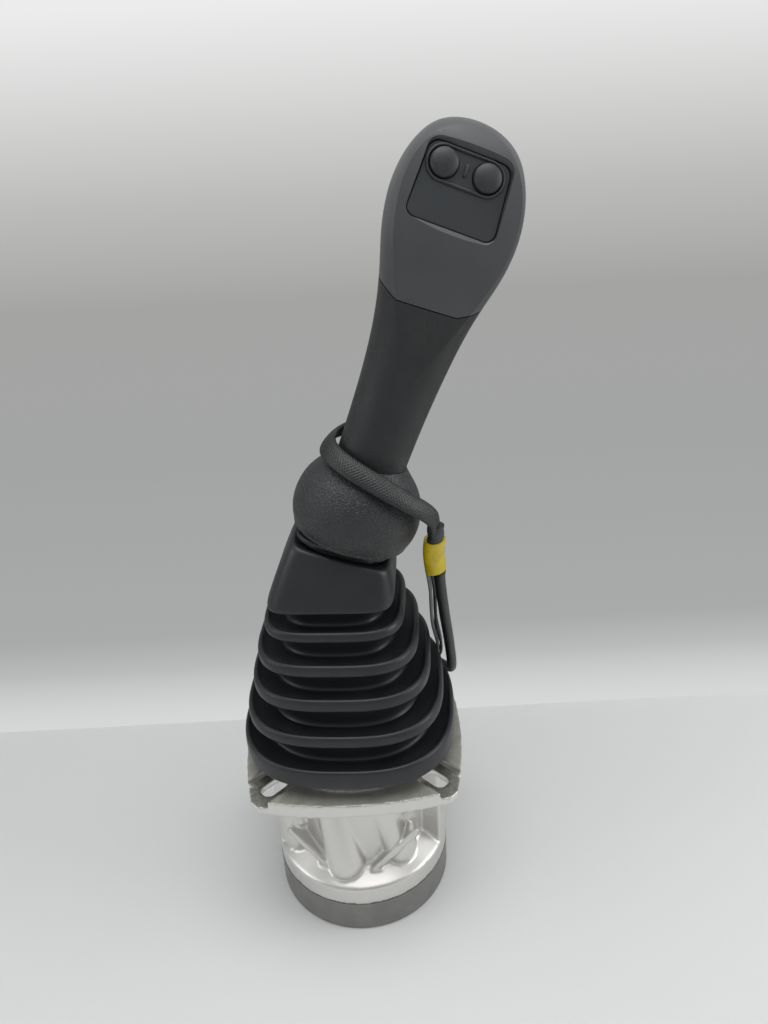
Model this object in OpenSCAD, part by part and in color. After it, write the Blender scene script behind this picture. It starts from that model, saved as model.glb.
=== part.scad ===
// Hydraulic pilot-control joystick: a four-port pilot valve under a
// universal-jointed lever, with a rubber bellows and a two-button hand grip.
// Millimetres. +Z up, the operator sits on the -Y side, +X is to their right.
// The origin is the centre of the port block's bottom face.

/* [Port block] */
// Diameter of the steel port block and of the cast body's rim
body_d = 100; // [96:1:104]
// Height of the steel port block
block_h = 20; // [16:1:24]
// Tapping radius of the six hydraulic ports
port_r = 5.8; // [5:0.1:6.4]
// Depth of each tapped port
port_depth = 13; // [10:0.5:14]
// Radius of the circle that the four control ports lie on
port_circle_r = 33; // [32:0.5:35]
// Radius of the cap screws that hold the block to the cast body
block_screw_r = 3; // [2.5:0.25:3.5]

/* [Cast body] */
// Height of the mounting flange's top face above the bottom face
flange_top_z = 104; // [100:1:110]
// Thickness of the mounting flange
flange_t = 8; // [6:0.5:9]
// Distance from the axis to the middle of each flange side
flange_half = 59; // [57:0.5:62]
// Radius of the bulged flange sides
flange_side_r = 200; // [160:10:300]
// Distance from the axis to the flange's clipped corners
flange_corner_r = 72; // [70:0.5:74]
// Height of the plain rim above the port block
rim_h = 12; // [8:1:16]
// Radius of the core between the bosses
core_r = 38; // [36:0.5:40]
// Radius of the raised spigot on the flange
spigot_r = 49.7; // [48:0.1:50.5]
// Height of the raised spigot
spigot_h = 3.5; // [2.5:0.25:5]

/* [Fixing slots] */
// Angle of each fixing slot from the front-to-back line
slot_angle = 47; // [44:1:49]
// Width of the fixing slots
slot_w = 8; // [6.5:0.5:9]
// Distance from the axis to the middle of a slot
slot_mid_r = 57; // [56:0.5:58]
// End-to-end length of a slot
slot_len = 15; // [12:0.5:16]
// Width of the washer channel round a slot
channel_w = 19; // [16:0.5:21]
// Depth of the washer channel
channel_depth = 4; // [2:0.5:5]

/* [Pilot valve] */
// Distance from the axis to each plunger
plunger_circle_r = 22; // [21:0.5:23]
// Radius of a plunger's polished rod
plunger_r = 4; // [3.5:0.25:4.5]
// Radius of the four valve bores in the body
valve_bore_r = 8.5; // [8.2:0.1:9]
// Radius of a spool
spool_r = 4; // [3.5:0.25:4.25]
// Mean radius of a return spring
return_spring_r = 6.8; // [6.4:0.1:7]
// Wire radius of a return spring
return_wire_r = 0.8; // [0.6:0.05:1]
// Mean radius of a metering spring
metering_spring_r = 3.6; // [3.2:0.1:3.8]
// Wire radius of a metering spring
metering_wire_r = 0.55; // [0.4:0.05:0.6]
// Thickness of the plate that keeps the plunger guides in
plate_t = 6; // [5:0.5:7]
// Radius of the retaining plate
plate_r = 37; // [35:0.5:38]

/* [Universal joint] */
// Height of the joint's centre above the bottom face
pivot_z = 118; // [117:0.5:120]
// Radius of the cross pins
pin_r = 3; // [2.5:0.25:3.5]
// Distance from the joint's centre to the outer face of an ear
ear_out = 12; // [11.5:0.25:12.5]
// Thickness of a yoke ear
ear_t = 4; // [3.5:0.25:4.25]
// Radius of a yoke ear's round end
ear_r = 6; // [5.5:0.25:6]
// Height of the cam plate's face above the joint's centre
cam_h = 14; // [13.5:0.25:15]
// Radius of the cam plate
cam_r = 30; // [28:0.5:30]
// Thickness of the cam plate
cam_t = 7; // [5:0.5:8]
// Radius of the lever's threaded stud
stud_r = 6; // [5.5:0.25:7]

/* [Lever] */
// Height at which the steel rod bends over
bend_z = 219; // [217:0.5:221]
// Lean of the hand grip to the right
lean = 21.8; // [19:0.1:24]
// Radius of the steel rod
rod_r = 7; // [6:0.25:7.5]
// Distance from the bend to the rod's end inside the grip
rod_top = 118; // [100:1:125]

/* [Rubber bellows] */
// Half width of the lowest convolution
boot_base_half = 56.7; // [55:0.1:58]
// Wall of the bellows
boot_wall = 1.4; // [1.2:0.1:1.6]
// Depth of the valleys between the convolutions
valley_depth = 8; // [6:0.25:9]
// Turn of the bellows about the vertical axis, seen from above
boot_turn = -4; // [-8:1:4]
// Half width of the square collar at its foot
collar_half = 31.3; // [30:0.1:33]

/* [Bell and grip] */
// Lean of the bell and of the collar's top edge
bell_lean = 18; // [14:0.5:21]
// Largest radius of the bell
bell_r = 31.4; // [29:0.2:33]
// Half width of the grip's neck where it meets the bell
neck_half = 16.8; // [16:0.1:18]
// Half width of the head at its widest
head_half = 28.2; // [27:0.1:30]
// Wall of the grip's moulded shells
shell_wall = 2.5; // [2:0.1:3]
// Angle that the switch panel leans back
panel_tilt = 19; // [14:0.5:21]

/* [Buttons] */
// Radius of a push button
button_r = 5.7; // [5:0.1:6.2]
// Distance between the two buttons
button_gap = 17.8; // [16:0.1:19]
// Travel of a push button
button_travel = 1.6; // [1:0.1:2]

/* [Clearances] */
// Radial running clearance of a pin or a plunger
run_fit = 0.04; // [0.02:0.01:0.08]
// Gap between pieces that move past each other
move_gap = 0.3; // [0.25:0.05:0.5]

/* [Harness] */
// Diameter of the braided sleeve round the neck
sleeve_d = 9; // [8:0.5:10]
// Diameter of the heat-shrink tube
shrink_d = 10; // [9:0.5:11]
// Diameter of the taped joint
tape_d = 11; // [10:0.5:12]
// Diameter of the braided tail
tail_d = 5.6; // [4:0.2:6]
// Diameter of a single lead
wire_d = 1.8; // [1.4:0.1:2.2]

/* [Hidden] */
$fn = 48;
body_r = body_d / 2;
spigot_z = flange_top_z + spigot_h;
plate_top = spigot_z + plate_t;
side_angles = [180, 0, 270, 90];
eps = 0.01;
screw_circle_r = body_r - 8;
screw_head_r = block_screw_r + 2;
screw_head_h = 6;
screw_top_z = block_h + rim_h - 1;
supply_x = 13;
passage_r = 3.5;
seal_r = 0.9;
seal_mid_r = port_r + 0.4;
body_floor_z = block_h;
rim_top_z = block_h + rim_h;
slot_r = slot_w / 2;
chamber_floor_z = 50;
spool_floor_z = body_floor_z + 4;
stud_hole_r = stud_r + run_fit;
stud_floor_z = 84;
yoke_base_r = 13.4;
yoke_base_top = spigot_z - 0.5;
yoke_base_t = 3;
ear_in = ear_out - ear_t;
cam_z = pivot_z + cam_h;
hub_t = 2.5;
hub_r = 13;
nut_af_r = 12.7;
cam_nut_h = 8;
rod_nut_h = 5;
cam_top = cam_z + cam_t;
rod_socket_z = cam_top + cam_nut_h + rod_nut_h;
rod_socket_h = 22;
rod_socket_r = 10;
stud_top = rod_socket_z + 11;
plate_screw_r = 2.5;
plate_screw_circle_r = 27;
plate_head_r = 4;
plate_head_h = 4;
guide_r = valve_bore_r - run_fit;
guide_neck_r = plunger_r + 2.2;
guide_h = 5;
wiper_h = 2;
wiper_r = plunger_r + 1.4;
plunger_flange_r = valve_bore_r - 0.6;
plunger_flange_z = 84;
plunger_flange_h = 4;
seat_h = 3;
seat_z = plunger_flange_z - seat_h;
spool_z = spool_floor_z + 2;
spool_shoulder_z = chamber_floor_z + 8;
spool_stem_r = 2;
spool_stem_h = 10;
boot_foot_r = plate_r + 2;
// each convolution: height of its lower edge, share of the base width
boot_rings = [[112, 1], [134, 0.912], [151.5, 0.813], [168.5, 0.725], [184.5, 0.623]];
boot_face = [11, 6.5, 7, 6.5, 5.5];
boot_square = [2.7, 2.9, 3.1, 3.4, 3.8];
boot_drift = 0.045;
boot_sides = 28;
collar_z = bend_z - 21;
collar_square = 5;
bell_c = [10, 0, bend_z + 21];
collar_top_s = -18.5;
collar_top_half = 24.8;
collar_top_x = -2.4;
groove_half = 18.5;
top_plate_s = -16;
top_plate_half = 22.5;
top_plate_t = 2.2;
bell_wall = 2.4;

// ---- shared forms -------------------------------------------------------

function signed_pow(v, e) = sign(v) * pow(abs(v), e);
// a rounded square: the higher the exponent, the squarer the corners
function squircle(a, b, n, t) = [a * signed_pow(cos(t), 2 / n), b * signed_pow(sin(t), 2 / n)];
function lerp(a, b, t) = a + (b - a) * t;
function unit(v) = v / norm(v);
function grid_faces(rows, cols, wrap) = [
  for (i = [0:(wrap ? rows - 1 : rows - 2)], j = [0:cols - 1], k = [0, 1])
    let (a = i * cols + j, b = i * cols + (j + 1) % cols,
         c = ((i + 1) % rows) * cols + (j + 1) % cols, d = ((i + 1) % rows) * cols + j)
      k == 0 ? [a, c, b] : [a, d, c]
];

// a closed skin through a stack of rings of points
module loft(rings) {
  cols = len(rings[0]);
  last = (len(rings) - 1) * cols;
  polyhedron(
    points = [for (ring = rings, p = ring) p],
    faces = concat(grid_faces(len(rings), cols, false),
      [[for (j = [0:cols - 1]) j]], [[for (j = [cols - 1:-1:0]) last + j]]));
}

// a round cord swept along its route
module cord(route, d, sides) {
  n = len(route);
  loft([for (i = [0:n - 1])
    let (t = unit(route[min(i + 1, n - 1)] - route[max(i - 1, 0)]),
         side = unit(cross(t, abs(t[1]) > 0.9 ? [1, 0, 0] : [0, 1, 0])),
         up = cross(t, side))
      [for (j = [0:sides - 1])
        route[i] + d / 2 * (cos(j * 360 / sides) * side - sin(j * 360 / sides) * up)]]);
}

module at_side(k) {
  rotate([0, 0, side_angles[k]]) translate([plunger_circle_r, 0, 0]) children();
}

module all_sides() {
  for (k = [0:3]) at_side(k) children();
}

module in_lever() {
  translate([0, 0, bend_z]) rotate([0, lean, 0]) children();
}

module in_bell() {
  translate(bell_c) rotate([0, bell_lean, 0]) children();
}

module ring(ro, ri, h) {
  difference() {
    cylinder(r = ro, h = h);
    translate([0, 0, -1]) cylinder(r = ri, h = h + 2);
  }
}

module coil_spring(mean_r, wire_r, h, turns) {
  steps = 9;
  count = turns * steps;
  loft([for (i = [0:count])
    let (a = i * 360 / steps, z = wire_r + (h - 2 * wire_r) * i / count, c = [cos(a), sin(a), 0])
      [for (j = [0:4]) (mean_r + wire_r * cos(-j * 72)) * c + [0, 0, z + wire_r * sin(-j * 72)]]]);
}

// ---- port block ---------------------------------------------------------

module port_places() {
  for (k = [0:3]) rotate([0, 0, 45 + 90 * k]) translate([port_circle_r, 0, 0]) children();
  for (s = [-1, 1]) translate([s * supply_x, 0, 0]) children();
}

module screw_places() {
  for (k = [0:3]) rotate([0, 0, 90 * k]) translate([screw_circle_r, 0, 0]) children();
}

module port_block() {
  color("dimgray") difference() {
    rotate_extrude($fn = 96)
      polygon([[0, 0], [body_r - 1, 0], [body_r, 1], [body_r, block_h], [0, block_h]]);
    port_places() {
      translate([0, 0, -1]) cylinder(r = port_r, h = port_depth + 1);
      cylinder(r = passage_r, h = block_h + 1);
      translate([0, 0, block_h - 2 * seal_r - 0.1]) ring(seal_mid_r + seal_r + 0.1,
        seal_mid_r - seal_r - 0.1, 3);
    }
    screw_places() {
      translate([0, 0, -1]) cylinder(r = screw_head_r + 0.3, h = screw_head_h + 2);
      cylinder(r = block_screw_r + run_fit, h = block_h + 1);
    }
  }
}

module port_seals() {
  color("black") port_places() translate([0, 0, block_h - seal_r - 0.05])
    rotate_extrude($fn = 24) translate([seal_mid_r, 0]) circle(r = seal_r, $fn = 16);
}

module block_screws() {
  color("silver") screw_places() difference() {
    union() {
      translate([0, 0, 1]) cylinder(r = screw_head_r, h = screw_head_h);
      translate([0, 0, 1]) cylinder(r = block_screw_r, h = screw_top_z - 1);
    }
    cylinder(r = block_screw_r * 0.9, h = 4, $fn = 6);
  }
}

// ---- cast valve body ----------------------------------------------------

module boss_column(angle, mid_r, r, z0, z1) {
  rotate([0, 0, angle - 90]) translate([mid_r, 0, z0]) {
    cylinder(r = r, h = z1 - z0);
    sphere(r = r);
  }
}

// a passage boss that leans inwards and along the wall as it rises
module leaning_boss(angle, mid_r, r, z0, length, tip_in, tip_along) {
  rotate([0, 0, angle - 90]) translate([mid_r, 0, z0]) rotate([tip_along, -tip_in, 0]) {
    sphere(r = r);
    cylinder(r1 = r, r2 = r * 0.8, h = length);
  }
}

module leaning_rib(angle, z0, length, tip_along) {
  rotate([0, 0, angle - 90]) translate([core_r - 6, 0, z0]) rotate([tip_along, 0, 0])
    translate([0, -2, 0]) cube([10, 4, length]);
}

// the features of one half of the casting, repeated half a turn away
module casting_half() {
  boss_column(-66, 39.5, 10, 42, 97);
  leaning_boss(-13, 38.5, 10.5, 42, 45, 12, 12);
  leaning_boss(36, 36.5, 10, 42, 46, 12, 14);
  leaning_rib(-52, 56, 34, 52);
  leaning_rib(-24, 33, 34, 48);
  leaning_rib(6, 33, 40, -44);
  rotate([0, 0, -90]) linear_extrude(96) difference() {
    circle(r = body_r - 0.5, $fn = 96);
    circle(r = core_r - 3);
    rotate([0, 0, 106]) translate([-60, -120]) square([120, 120]);
    rotate([0, 0, -114]) translate([-60, -120]) square([120, 120]);
  }
}

module fixing_slots() {
  for (sx = [-1, 1], sy = [-1, 1]) rotate([0, 0, sy * 90 + sx * sy * slot_angle]) {
    translate([slot_mid_r - slot_len / 2 + slot_r, -slot_r, 0]) cube([slot_len - slot_w, slot_w, 200]);
    for (s = [-1, 1]) translate([slot_mid_r + s * (slot_len / 2 - slot_r), 0, 0])
      cylinder(r = slot_r, h = 200);
    translate([spigot_r - 3, -channel_w / 2, flange_top_z - channel_depth]) cube([60, channel_w, 20]);
  }
}

module flange_outline() {
  intersection() {
    circle(r = flange_corner_r, $fn = 96);
    translate([0, flange_side_r - flange_half]) circle(r = flange_side_r, $fn = 180);
    translate([0, flange_half - flange_side_r]) circle(r = flange_side_r, $fn = 180);
    translate([flange_side_r - flange_half, 0]) circle(r = flange_side_r, $fn = 180);
    translate([flange_half - flange_side_r, 0]) circle(r = flange_side_r, $fn = 180);
  }
}

module valve_body() {
  color("gainsboro") difference() {
    union() {
      difference() {
        union() {
          rotate_extrude($fn = 96) polygon([[0, body_floor_z], [body_r - 0.2, body_floor_z],
            [body_r - 0.2, rim_top_z - 1], [body_r - 1.2, rim_top_z], [core_r, rim_top_z + 6],
            [core_r, flange_top_z - flange_t], [0, flange_top_z - flange_t]]);
          intersection() {
            for (half = [0, 180]) rotate([0, 0, half]) casting_half();
            translate([0, 0, body_floor_z + 1])
              cylinder(r = body_r - 0.5, h = flange_top_z - body_floor_z - 2, $fn = 96);
          }
          translate([0, 0, flange_top_z - flange_t]) linear_extrude(flange_t) flange_outline();
        }
        fixing_slots();
      }
      translate([0, 0, flange_top_z - flange_t]) cylinder(r = spigot_r, h = flange_t + spigot_h, $fn = 96);
    }
    all_sides() {
      translate([0, 0, chamber_floor_z]) cylinder(r = valve_bore_r, h = 80);
      translate([0, 0, spool_floor_z]) cylinder(r = spool_r + run_fit, h = 80);
    }
    port_places() translate([0, 0, body_floor_z - 1]) cylinder(r = passage_r, h = 12);
    screw_places() translate([0, 0, body_floor_z - 1])
      cylinder(r = block_screw_r + run_fit, h = screw_top_z - body_floor_z + 1.5);
    for (k = [0:3]) rotate([0, 0, 45 + 90 * k])
      translate([plate_screw_circle_r, 0, spigot_z - 12]) cylinder(r = plate_screw_r + run_fit, h = 20);
    translate([0, 0, yoke_base_top - yoke_base_t]) cylinder(r = yoke_base_r + 0.1, h = 20);
    translate([0, 0, stud_floor_z - 1]) cylinder(r = stud_hole_r, h = 40);
  }
}

// ---- plate, guides and valve parts --------------------------------------

module retaining_plate() {
  color("silver") translate([0, 0, spigot_z]) difference() {
    rotate_extrude($fn = 96) polygon([[0, 0], [plate_r, 0], [plate_r, plate_t - 1],
      [plate_r - 1, plate_t], [0, plate_t]]);
    translate([0, 0, -1]) cylinder(r = yoke_base_r + 1, h = 20);
    all_sides() translate([0, 0, -1]) cylinder(r = guide_neck_r + 0.1, h = 20);
    for (k = [0:3]) rotate([0, 0, 45 + 90 * k]) translate([plate_screw_circle_r, 0, -1]) {
      cylinder(r = plate_screw_r + run_fit, h = 20);
      translate([0, 0, 1 + plate_t - plate_head_h]) cylinder(r = plate_head_r + 0.1, h = 20);
    }
  }
}

module plate_screws() {
  color("dimgray") for (k = [0:3]) rotate([0, 0, 45 + 90 * k])
    translate([plate_screw_circle_r, 0, plate_top - plate_head_h]) difference() {
      union() {
        cylinder(r = plate_head_r, h = plate_head_h - 0.2);
        translate([0, 0, -11]) cylinder(r = plate_screw_r, h = 12);
      }
      translate([0, 0, plate_head_h - 2.5]) cylinder(r = plate_screw_r * 0.95, h = 3, $fn = 6);
    }
}

module plunger_guides() {
  color("goldenrod") all_sides() difference() {
    union() {
      translate([0, 0, spigot_z - guide_h]) cylinder(r = guide_r, h = guide_h);
      translate([0, 0, spigot_z - 1]) cylinder(r = guide_neck_r, h = plate_t + 2);
    }
    cylinder(r = plunger_r + run_fit, h = 200);
    translate([0, 0, plate_top + 1 - wiper_h]) cylinder(r = wiper_r + 0.05, h = 10);
  }
}

module rod_wipers() {
  color("black") all_sides() translate([0, 0, plate_top + 1 - wiper_h])
    ring(wiper_r, plunger_r + run_fit, wiper_h);
}

module plunger(k) {
  color("lightgray") at_side(k) {
    translate([0, 0, plunger_flange_z]) cylinder(r = plunger_flange_r, h = plunger_flange_h);
    translate([0, 0, plunger_flange_z])
      cylinder(r = plunger_r, h = cam_z - move_gap - plunger_r - plunger_flange_z);
    translate([0, 0, cam_z - move_gap - plunger_r]) sphere(r = plunger_r);
  }
}

module spring_seat(k) {
  color("gray") at_side(k) translate([0, 0, seat_z]) ring(plunger_flange_r, spool_stem_r + 0.4, seat_h);
}

module return_springs() {
  color("gray") all_sides() translate([0, 0, chamber_floor_z])
    coil_spring(return_spring_r, return_wire_r, seat_z - chamber_floor_z, 5);
}

module metering_springs() {
  color("gray") all_sides() translate([0, 0, spool_shoulder_z])
    coil_spring(metering_spring_r, metering_wire_r, seat_z - spool_shoulder_z, 4);
}

module spool(k) {
  land = 5;
  color("silver") at_side(k) rotate_extrude() polygon([[0, spool_z], [spool_r, spool_z],
    [spool_r, spool_z + land], [spool_r - 1.2, spool_z + land + 1], [spool_r - 1.2, spool_z + land + 4],
    [spool_r, spool_z + land + 5], [spool_r, spool_shoulder_z], [spool_stem_r, spool_shoulder_z],
    [spool_stem_r, spool_shoulder_z + spool_stem_h], [0, spool_shoulder_z + spool_stem_h]]);
}

module plunger_left() { plunger(0); }
module plunger_right() { plunger(1); }
module plunger_front() { plunger(2); }
module plunger_rear() { plunger(3); }
module spring_seat_left() { spring_seat(0); }
module spring_seat_right() { spring_seat(1); }
module spring_seat_front() { spring_seat(2); }
module spring_seat_rear() { spring_seat(3); }
module spool_left() { spool(0); }
module spool_right() { spool(1); }
module spool_front() { spool(2); }
module spool_rear() { spool(3); }

// ---- universal joint and lever ------------------------------------------

// a pair of ears either side of the joint's centre, bored along X
module ear_pair(reach) {
  for (s = [-1, 1]) difference() {
    union() {
      rotate([0, 90, 0]) translate([0, 0, s > 0 ? ear_in : -ear_out]) cylinder(r = ear_r, h = ear_t);
      translate([s > 0 ? ear_in : -ear_out, -ear_r, min(0, reach)]) cube([ear_t, 2 * ear_r, abs(reach)]);
    }
    rotate([0, 90, 0]) translate([0, 0, -50]) cylinder(r = pin_r + run_fit, h = 100);
  }
}

module lower_yoke() {
  color("slategray") {
    translate([0, 0, pivot_z]) ear_pair(yoke_base_top - 1 - pivot_z);
    translate([0, 0, yoke_base_top - yoke_base_t]) cylinder(r = yoke_base_r, h = yoke_base_t);
    translate([0, 0, stud_floor_z]) cylinder(r = stud_r, h = yoke_base_top - stud_floor_z - 1);
  }
}

module joint_cross() {
  half = ear_in - move_gap;
  color("dimgray") translate([0, 0, pivot_z]) {
    translate([-half, -half, -ear_r]) cube([2 * half, 2 * half, 2 * ear_r]);
    rotate([0, 90, 0]) translate([0, 0, -ear_out]) cylinder(r = pin_r, h = 2 * ear_out);
    rotate([90, 0, 0]) translate([0, 0, -ear_out]) cylinder(r = pin_r, h = 2 * ear_out);
  }
}

module upper_yoke() {
  color("slategray") translate([0, 0, pivot_z]) {
    rotate([0, 0, 90]) ear_pair(cam_h - hub_t + 1);
    translate([0, 0, cam_h - hub_t]) cylinder(r = hub_r, h = hub_t);
    translate([0, 0, cam_h - 1]) cylinder(r = stud_r, h = stud_top - cam_z + 1);
  }
}

module cam_plate() {
  color("gray") translate([0, 0, cam_z]) difference() {
    rotate_extrude($fn = 96) polygon([[0, 0], [cam_r - 1, 0], [cam_r, 1], [cam_r, cam_t - 3],
      [cam_r - 8, cam_t], [0, cam_t]]);
    translate([0, 0, -1]) cylinder(r = stud_hole_r, h = 20);
  }
}

module cam_nut() {
  color("silver") translate([0, 0, cam_top]) difference() {
    cylinder(r = nut_af_r, h = cam_nut_h, $fn = 6);
    translate([0, 0, -1]) cylinder(r = stud_hole_r, h = 20);
  }
}

module rod_nut() {
  color("silver") translate([0, 0, cam_top + cam_nut_h]) difference() {
    cylinder(r = nut_af_r - 1.5, h = rod_nut_h, $fn = 6);
    translate([0, 0, -1]) cylinder(r = stud_hole_r, h = 20);
  }
}

module lever_rod() {
  color("silver") {
    difference() {
      translate([0, 0, rod_socket_z]) union() {
        cylinder(r = rod_socket_r, h = rod_socket_h);
        translate([0, 0, rod_socket_h]) cylinder(r1 = rod_socket_r, r2 = rod_r, h = 4);
      }
      translate([0, 0, rod_socket_z - 1]) cylinder(r = stud_hole_r, h = stud_top - rod_socket_z + 2);
    }
    translate([0, 0, stud_top + 2]) cylinder(r = rod_r, h = bend_z - stud_top - 2);
    translate([0, 0, bend_z]) sphere(r = rod_r + 0.3);
    in_lever() cylinder(r = rod_r, h = rod_top);
  }
}

// ---- bellows, top plate and bell ----------------------------------------

function boot_x(z) = -boot_drift * (z - 100);
// profile rows of the bellows: centre x, centre z, half width, squareness, tilt
function boot_ring_rows(k) =
  let (z = boot_rings[k][0], w = boot_base_half * boot_rings[k][1], h = boot_face[k], n = boot_square[k],
       next = k < 4 ? boot_rings[k + 1] : [collar_z, collar_half / boot_base_half],
       v = min(w, boot_base_half * next[1] + 1) - valley_depth)
    [[z, w - 2.6, n], [z + 0.8, w - 0.8, n], [z + h / 2, w, n], [z + h - 1, w - 0.9, n],
     [z + h, w - 2.8, n], [lerp(z + h, next[0], 0.45), v, n - 0.3], [next[0] - 1.2, v, n]];
boot_body_rows = concat(
  [[spigot_z, boot_foot_r, 2], [spigot_z + 2.2, boot_foot_r + 0.5, 2], [boot_rings[0][0] - 1.2, boot_foot_r + 8, 2.4]],
  [for (k = [0:4], row = boot_ring_rows(k)) row]);
collar_top = [bell_c[0] + collar_top_s * sin(bell_lean) + collar_top_x * cos(bell_lean),
  bell_c[2] + collar_top_s * cos(bell_lean) - collar_top_x * sin(bell_lean)];
groove_top = [bell_c[0] + top_plate_s * sin(bell_lean) + collar_top_x * cos(bell_lean),
  bell_c[2] + top_plate_s * cos(bell_lean) - collar_top_x * sin(bell_lean)];
boot_rows = concat(
  [for (r = boot_body_rows) [boot_x(r[0]), r[0], r[1], r[2], 0]],
  [for (t = [0, 0.06, 0.5, 0.94, 1])
    [lerp(boot_x(collar_z), collar_top[0], t), lerp(collar_z, collar_top[1], t),
     lerp(collar_half, collar_top_half, t) - (t == 0 || t == 1 ? 1.6 : 0), collar_square, bell_lean * t]],
  [[collar_top[0], collar_top[1] + 0.4, groove_half, 4, bell_lean],
   [groove_top[0], groove_top[1] - 0.3, groove_half, 4, bell_lean]]);

// the inner skin: each row moved in along the profile's own normal
function row_inward(i) =
  let (n = len(boot_rows), a = boot_rows[max(i - 1, 0)], b = boot_rows[min(i + 1, n - 1)],
       d = unit([b[2] - a[2], b[1] - a[1]]), r = boot_rows[i],
       dz = i == 0 || i == n - 1 ? 0 : d[0] * boot_wall, dw = i == 0 || i == n - 1 ? boot_wall : d[1] * boot_wall)
    [r[0], r[1] + dz, r[2] - max(dw, 0.2), r[3], r[4]];
function boot_ring_points(r) = [for (j = [0:boot_sides - 1])
  let (p = squircle(r[2], r[2], r[3], (j + 0.5) * 360 / boot_sides),
       q = [p[0] * cos(boot_turn) - p[1] * sin(boot_turn), p[0] * sin(boot_turn) + p[1] * cos(boot_turn)])
    [r[0] + q[0] * cos(r[4]), q[1], r[1] - q[0] * sin(r[4])]];

module bellows_boot() {
  n = len(boot_rows);
  rings = concat([for (r = boot_rows) boot_ring_points(r)],
    [for (i = [n - 1:-1:0]) boot_ring_points(row_inward(i))]);
  color("#1c1d1f") polyhedron(points = [for (ring = rings, p = ring) p],
    faces = grid_faces(2 * n, boot_sides, true));
}

module squircle_plate(half, n, h) {
  linear_extrude(h) polygon([for (j = [0:boot_sides - 1])
    squircle(half, half, n, (j + 0.5) * 360 / boot_sides)]);
}

module boot_top_plate() {
  color("#1a1b1d") in_bell() translate([collar_top_x, 0, top_plate_s]) difference() {
    rotate([0, 0, boot_turn]) squircle_plate(top_plate_half, 4, top_plate_t);
    translate([-collar_top_x, 0, -1]) cylinder(r = rod_r + 4, h = 20);
  }
}

module bell_skirt() {
  color("#222326") in_bell() rotate_extrude($fn = 64) difference() {
    intersection() {
      bell_outline(0);
      translate([neck_half + move_gap, -60]) square([60, 120]);
    }
    bell_outline(bell_wall);
  }
}

// half section of the bell, moved in by a wall
module bell_outline(wall) {
  r = bell_r - wall;
  polygon([[0, -13.5 - wall], [r - 7.4, -13.5 - wall], [r - 3.9, -12.8], [r - 1.2, -9],
    [r - 0.2, -4], [r, 0], [r - 0.6, 5], [r - 2.1, 10 - wall / 2], [r - 4.8, 15 - wall],
    [r - 8.4, 19 - wall], [r - 11.4 + wall / 2, 22 - wall], [neck_half + 1.4, 24.5 - wall * 2],
    [wall > 0 ? 0 : neck_half + 1, 26.5 - wall * 3], [0, 26.5 - wall * 3]]);
}

// ---- hand grip ----------------------------------------------------------

// along the leaning axis: height, left, right, front, back, front and back squareness
grip_rows = [
  [38, -16.8, 16.8, -16.8, 16.8, 2, 2], [52, -16.8, 16.8, -17, 17, 2, 2],
  [70, -17.2, 16.9, -17.5, 17.2, 2.1, 2.1], [85, -17.7, 17.4, -18, 17.6, 2.2, 2.1],
  [100, -18.8, 18.2, -19, 18, 2.3, 2.1], [112, -20.3, 18.8, -20.8, 18.5, 2.4, 2.2],
  [122, -22.2, 19.6, -23, 19, 2.5, 2.2], [131, -24.4, 20.7, -25.4, 19.6, 2.7, 2.2],
  [139, -26.8, 22.2, -27.2, 20.2, 2.9, 2.3], [147, -29.3, 23.8, -27.4, 21, 3.1, 2.3],
  [156, -31, 24.8, -26, 22, 3.3, 2.3], [165, -31.7, 24.6, -24, 22.6, 3.5, 2.3],
  [174, -30.7, 22.6, -21.6, 22.6, 3.7, 2.3], [181, -28.7, 19.9, -19.3, 21.6, 3.8, 2.3],
  [187, -25.8, 16.6, -16.6, 19.5, 3.6, 2.3], [191.5, -22.3, 12.8, -13.2, 16.5, 3.2, 2.2],
  [194.8, -17.5, 7.5, -8.5, 12, 2.5, 2.1], [196.6, -11, 1.5, -4, 6.5, 2.2, 2],
  [197, -6.5, -3.5, 0, 3, 2, 2]];
grip_sides = 32;
grip_open_s = 48;
neck_solid_s = 62;
lead_hole_s = 56;
lead_side_x = -3;
split_y = 3;
bezel_bottom = [[-45, 131], [-27, 131], [-16, 125.5], [10, 126.5], [21, 132.5], [45, 132.5]];
grip_screw_x = [-17, 11];
grip_screw_s = 143;
grip_screw_r = 2;
clamp_h = 14;
panel_x = -5.5;
panel_s = 171.5;
panel_y = -19.3;
panel_top_half = 16.8;
panel_low_half = 18.6;
panel_half_h = 15;
panel_corner_r = 4.5;
panel_t = 2.2;
buttons_x = -0.5;
buttons_z = 7.5;
button_flange = 0.9;
stem_len = 7.6;
switch_size = [11, 8, 8.5];
switch_face = 10;
bracket_t = 1.5;

function grip_scale(s) = lerp(neck_half / 16.8, head_half / 28.2, max(0, min(1, (s - 70) / 80)));
function grip_ring(r, wall) =
  let (k = grip_scale(r[0]), a = (r[2] - r[1]) / 2 * k - wall, b = (r[4] - r[3]) / 2 * k - wall,
       cx = (r[1] + r[2]) / 2, cy = (r[3] + r[4]) / 2)
    [for (j = [0:grip_sides - 1])
      let (t = j * 360 / grip_sides, p = squircle(a, b, t > 180 ? r[5] : r[6], t)) [cx + p[0], cy + p[1], r[0]]];

module grip_outer() {
  loft([for (r = grip_rows) grip_ring(r, 0)]);
}

module grip_cavity() {
  loft([for (r = grip_rows) if (r[0] >= 70 && r[0] < 190) grip_ring(r, shell_wall)]);
  translate([0, 0, neck_solid_s]) cylinder(r = neck_half - shell_wall, h = 9);
}

module grip_screw_places() {
  for (x = grip_screw_x) translate([x, 0, grip_screw_s]) rotate([-90, 0, 0]) children();
}

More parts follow.
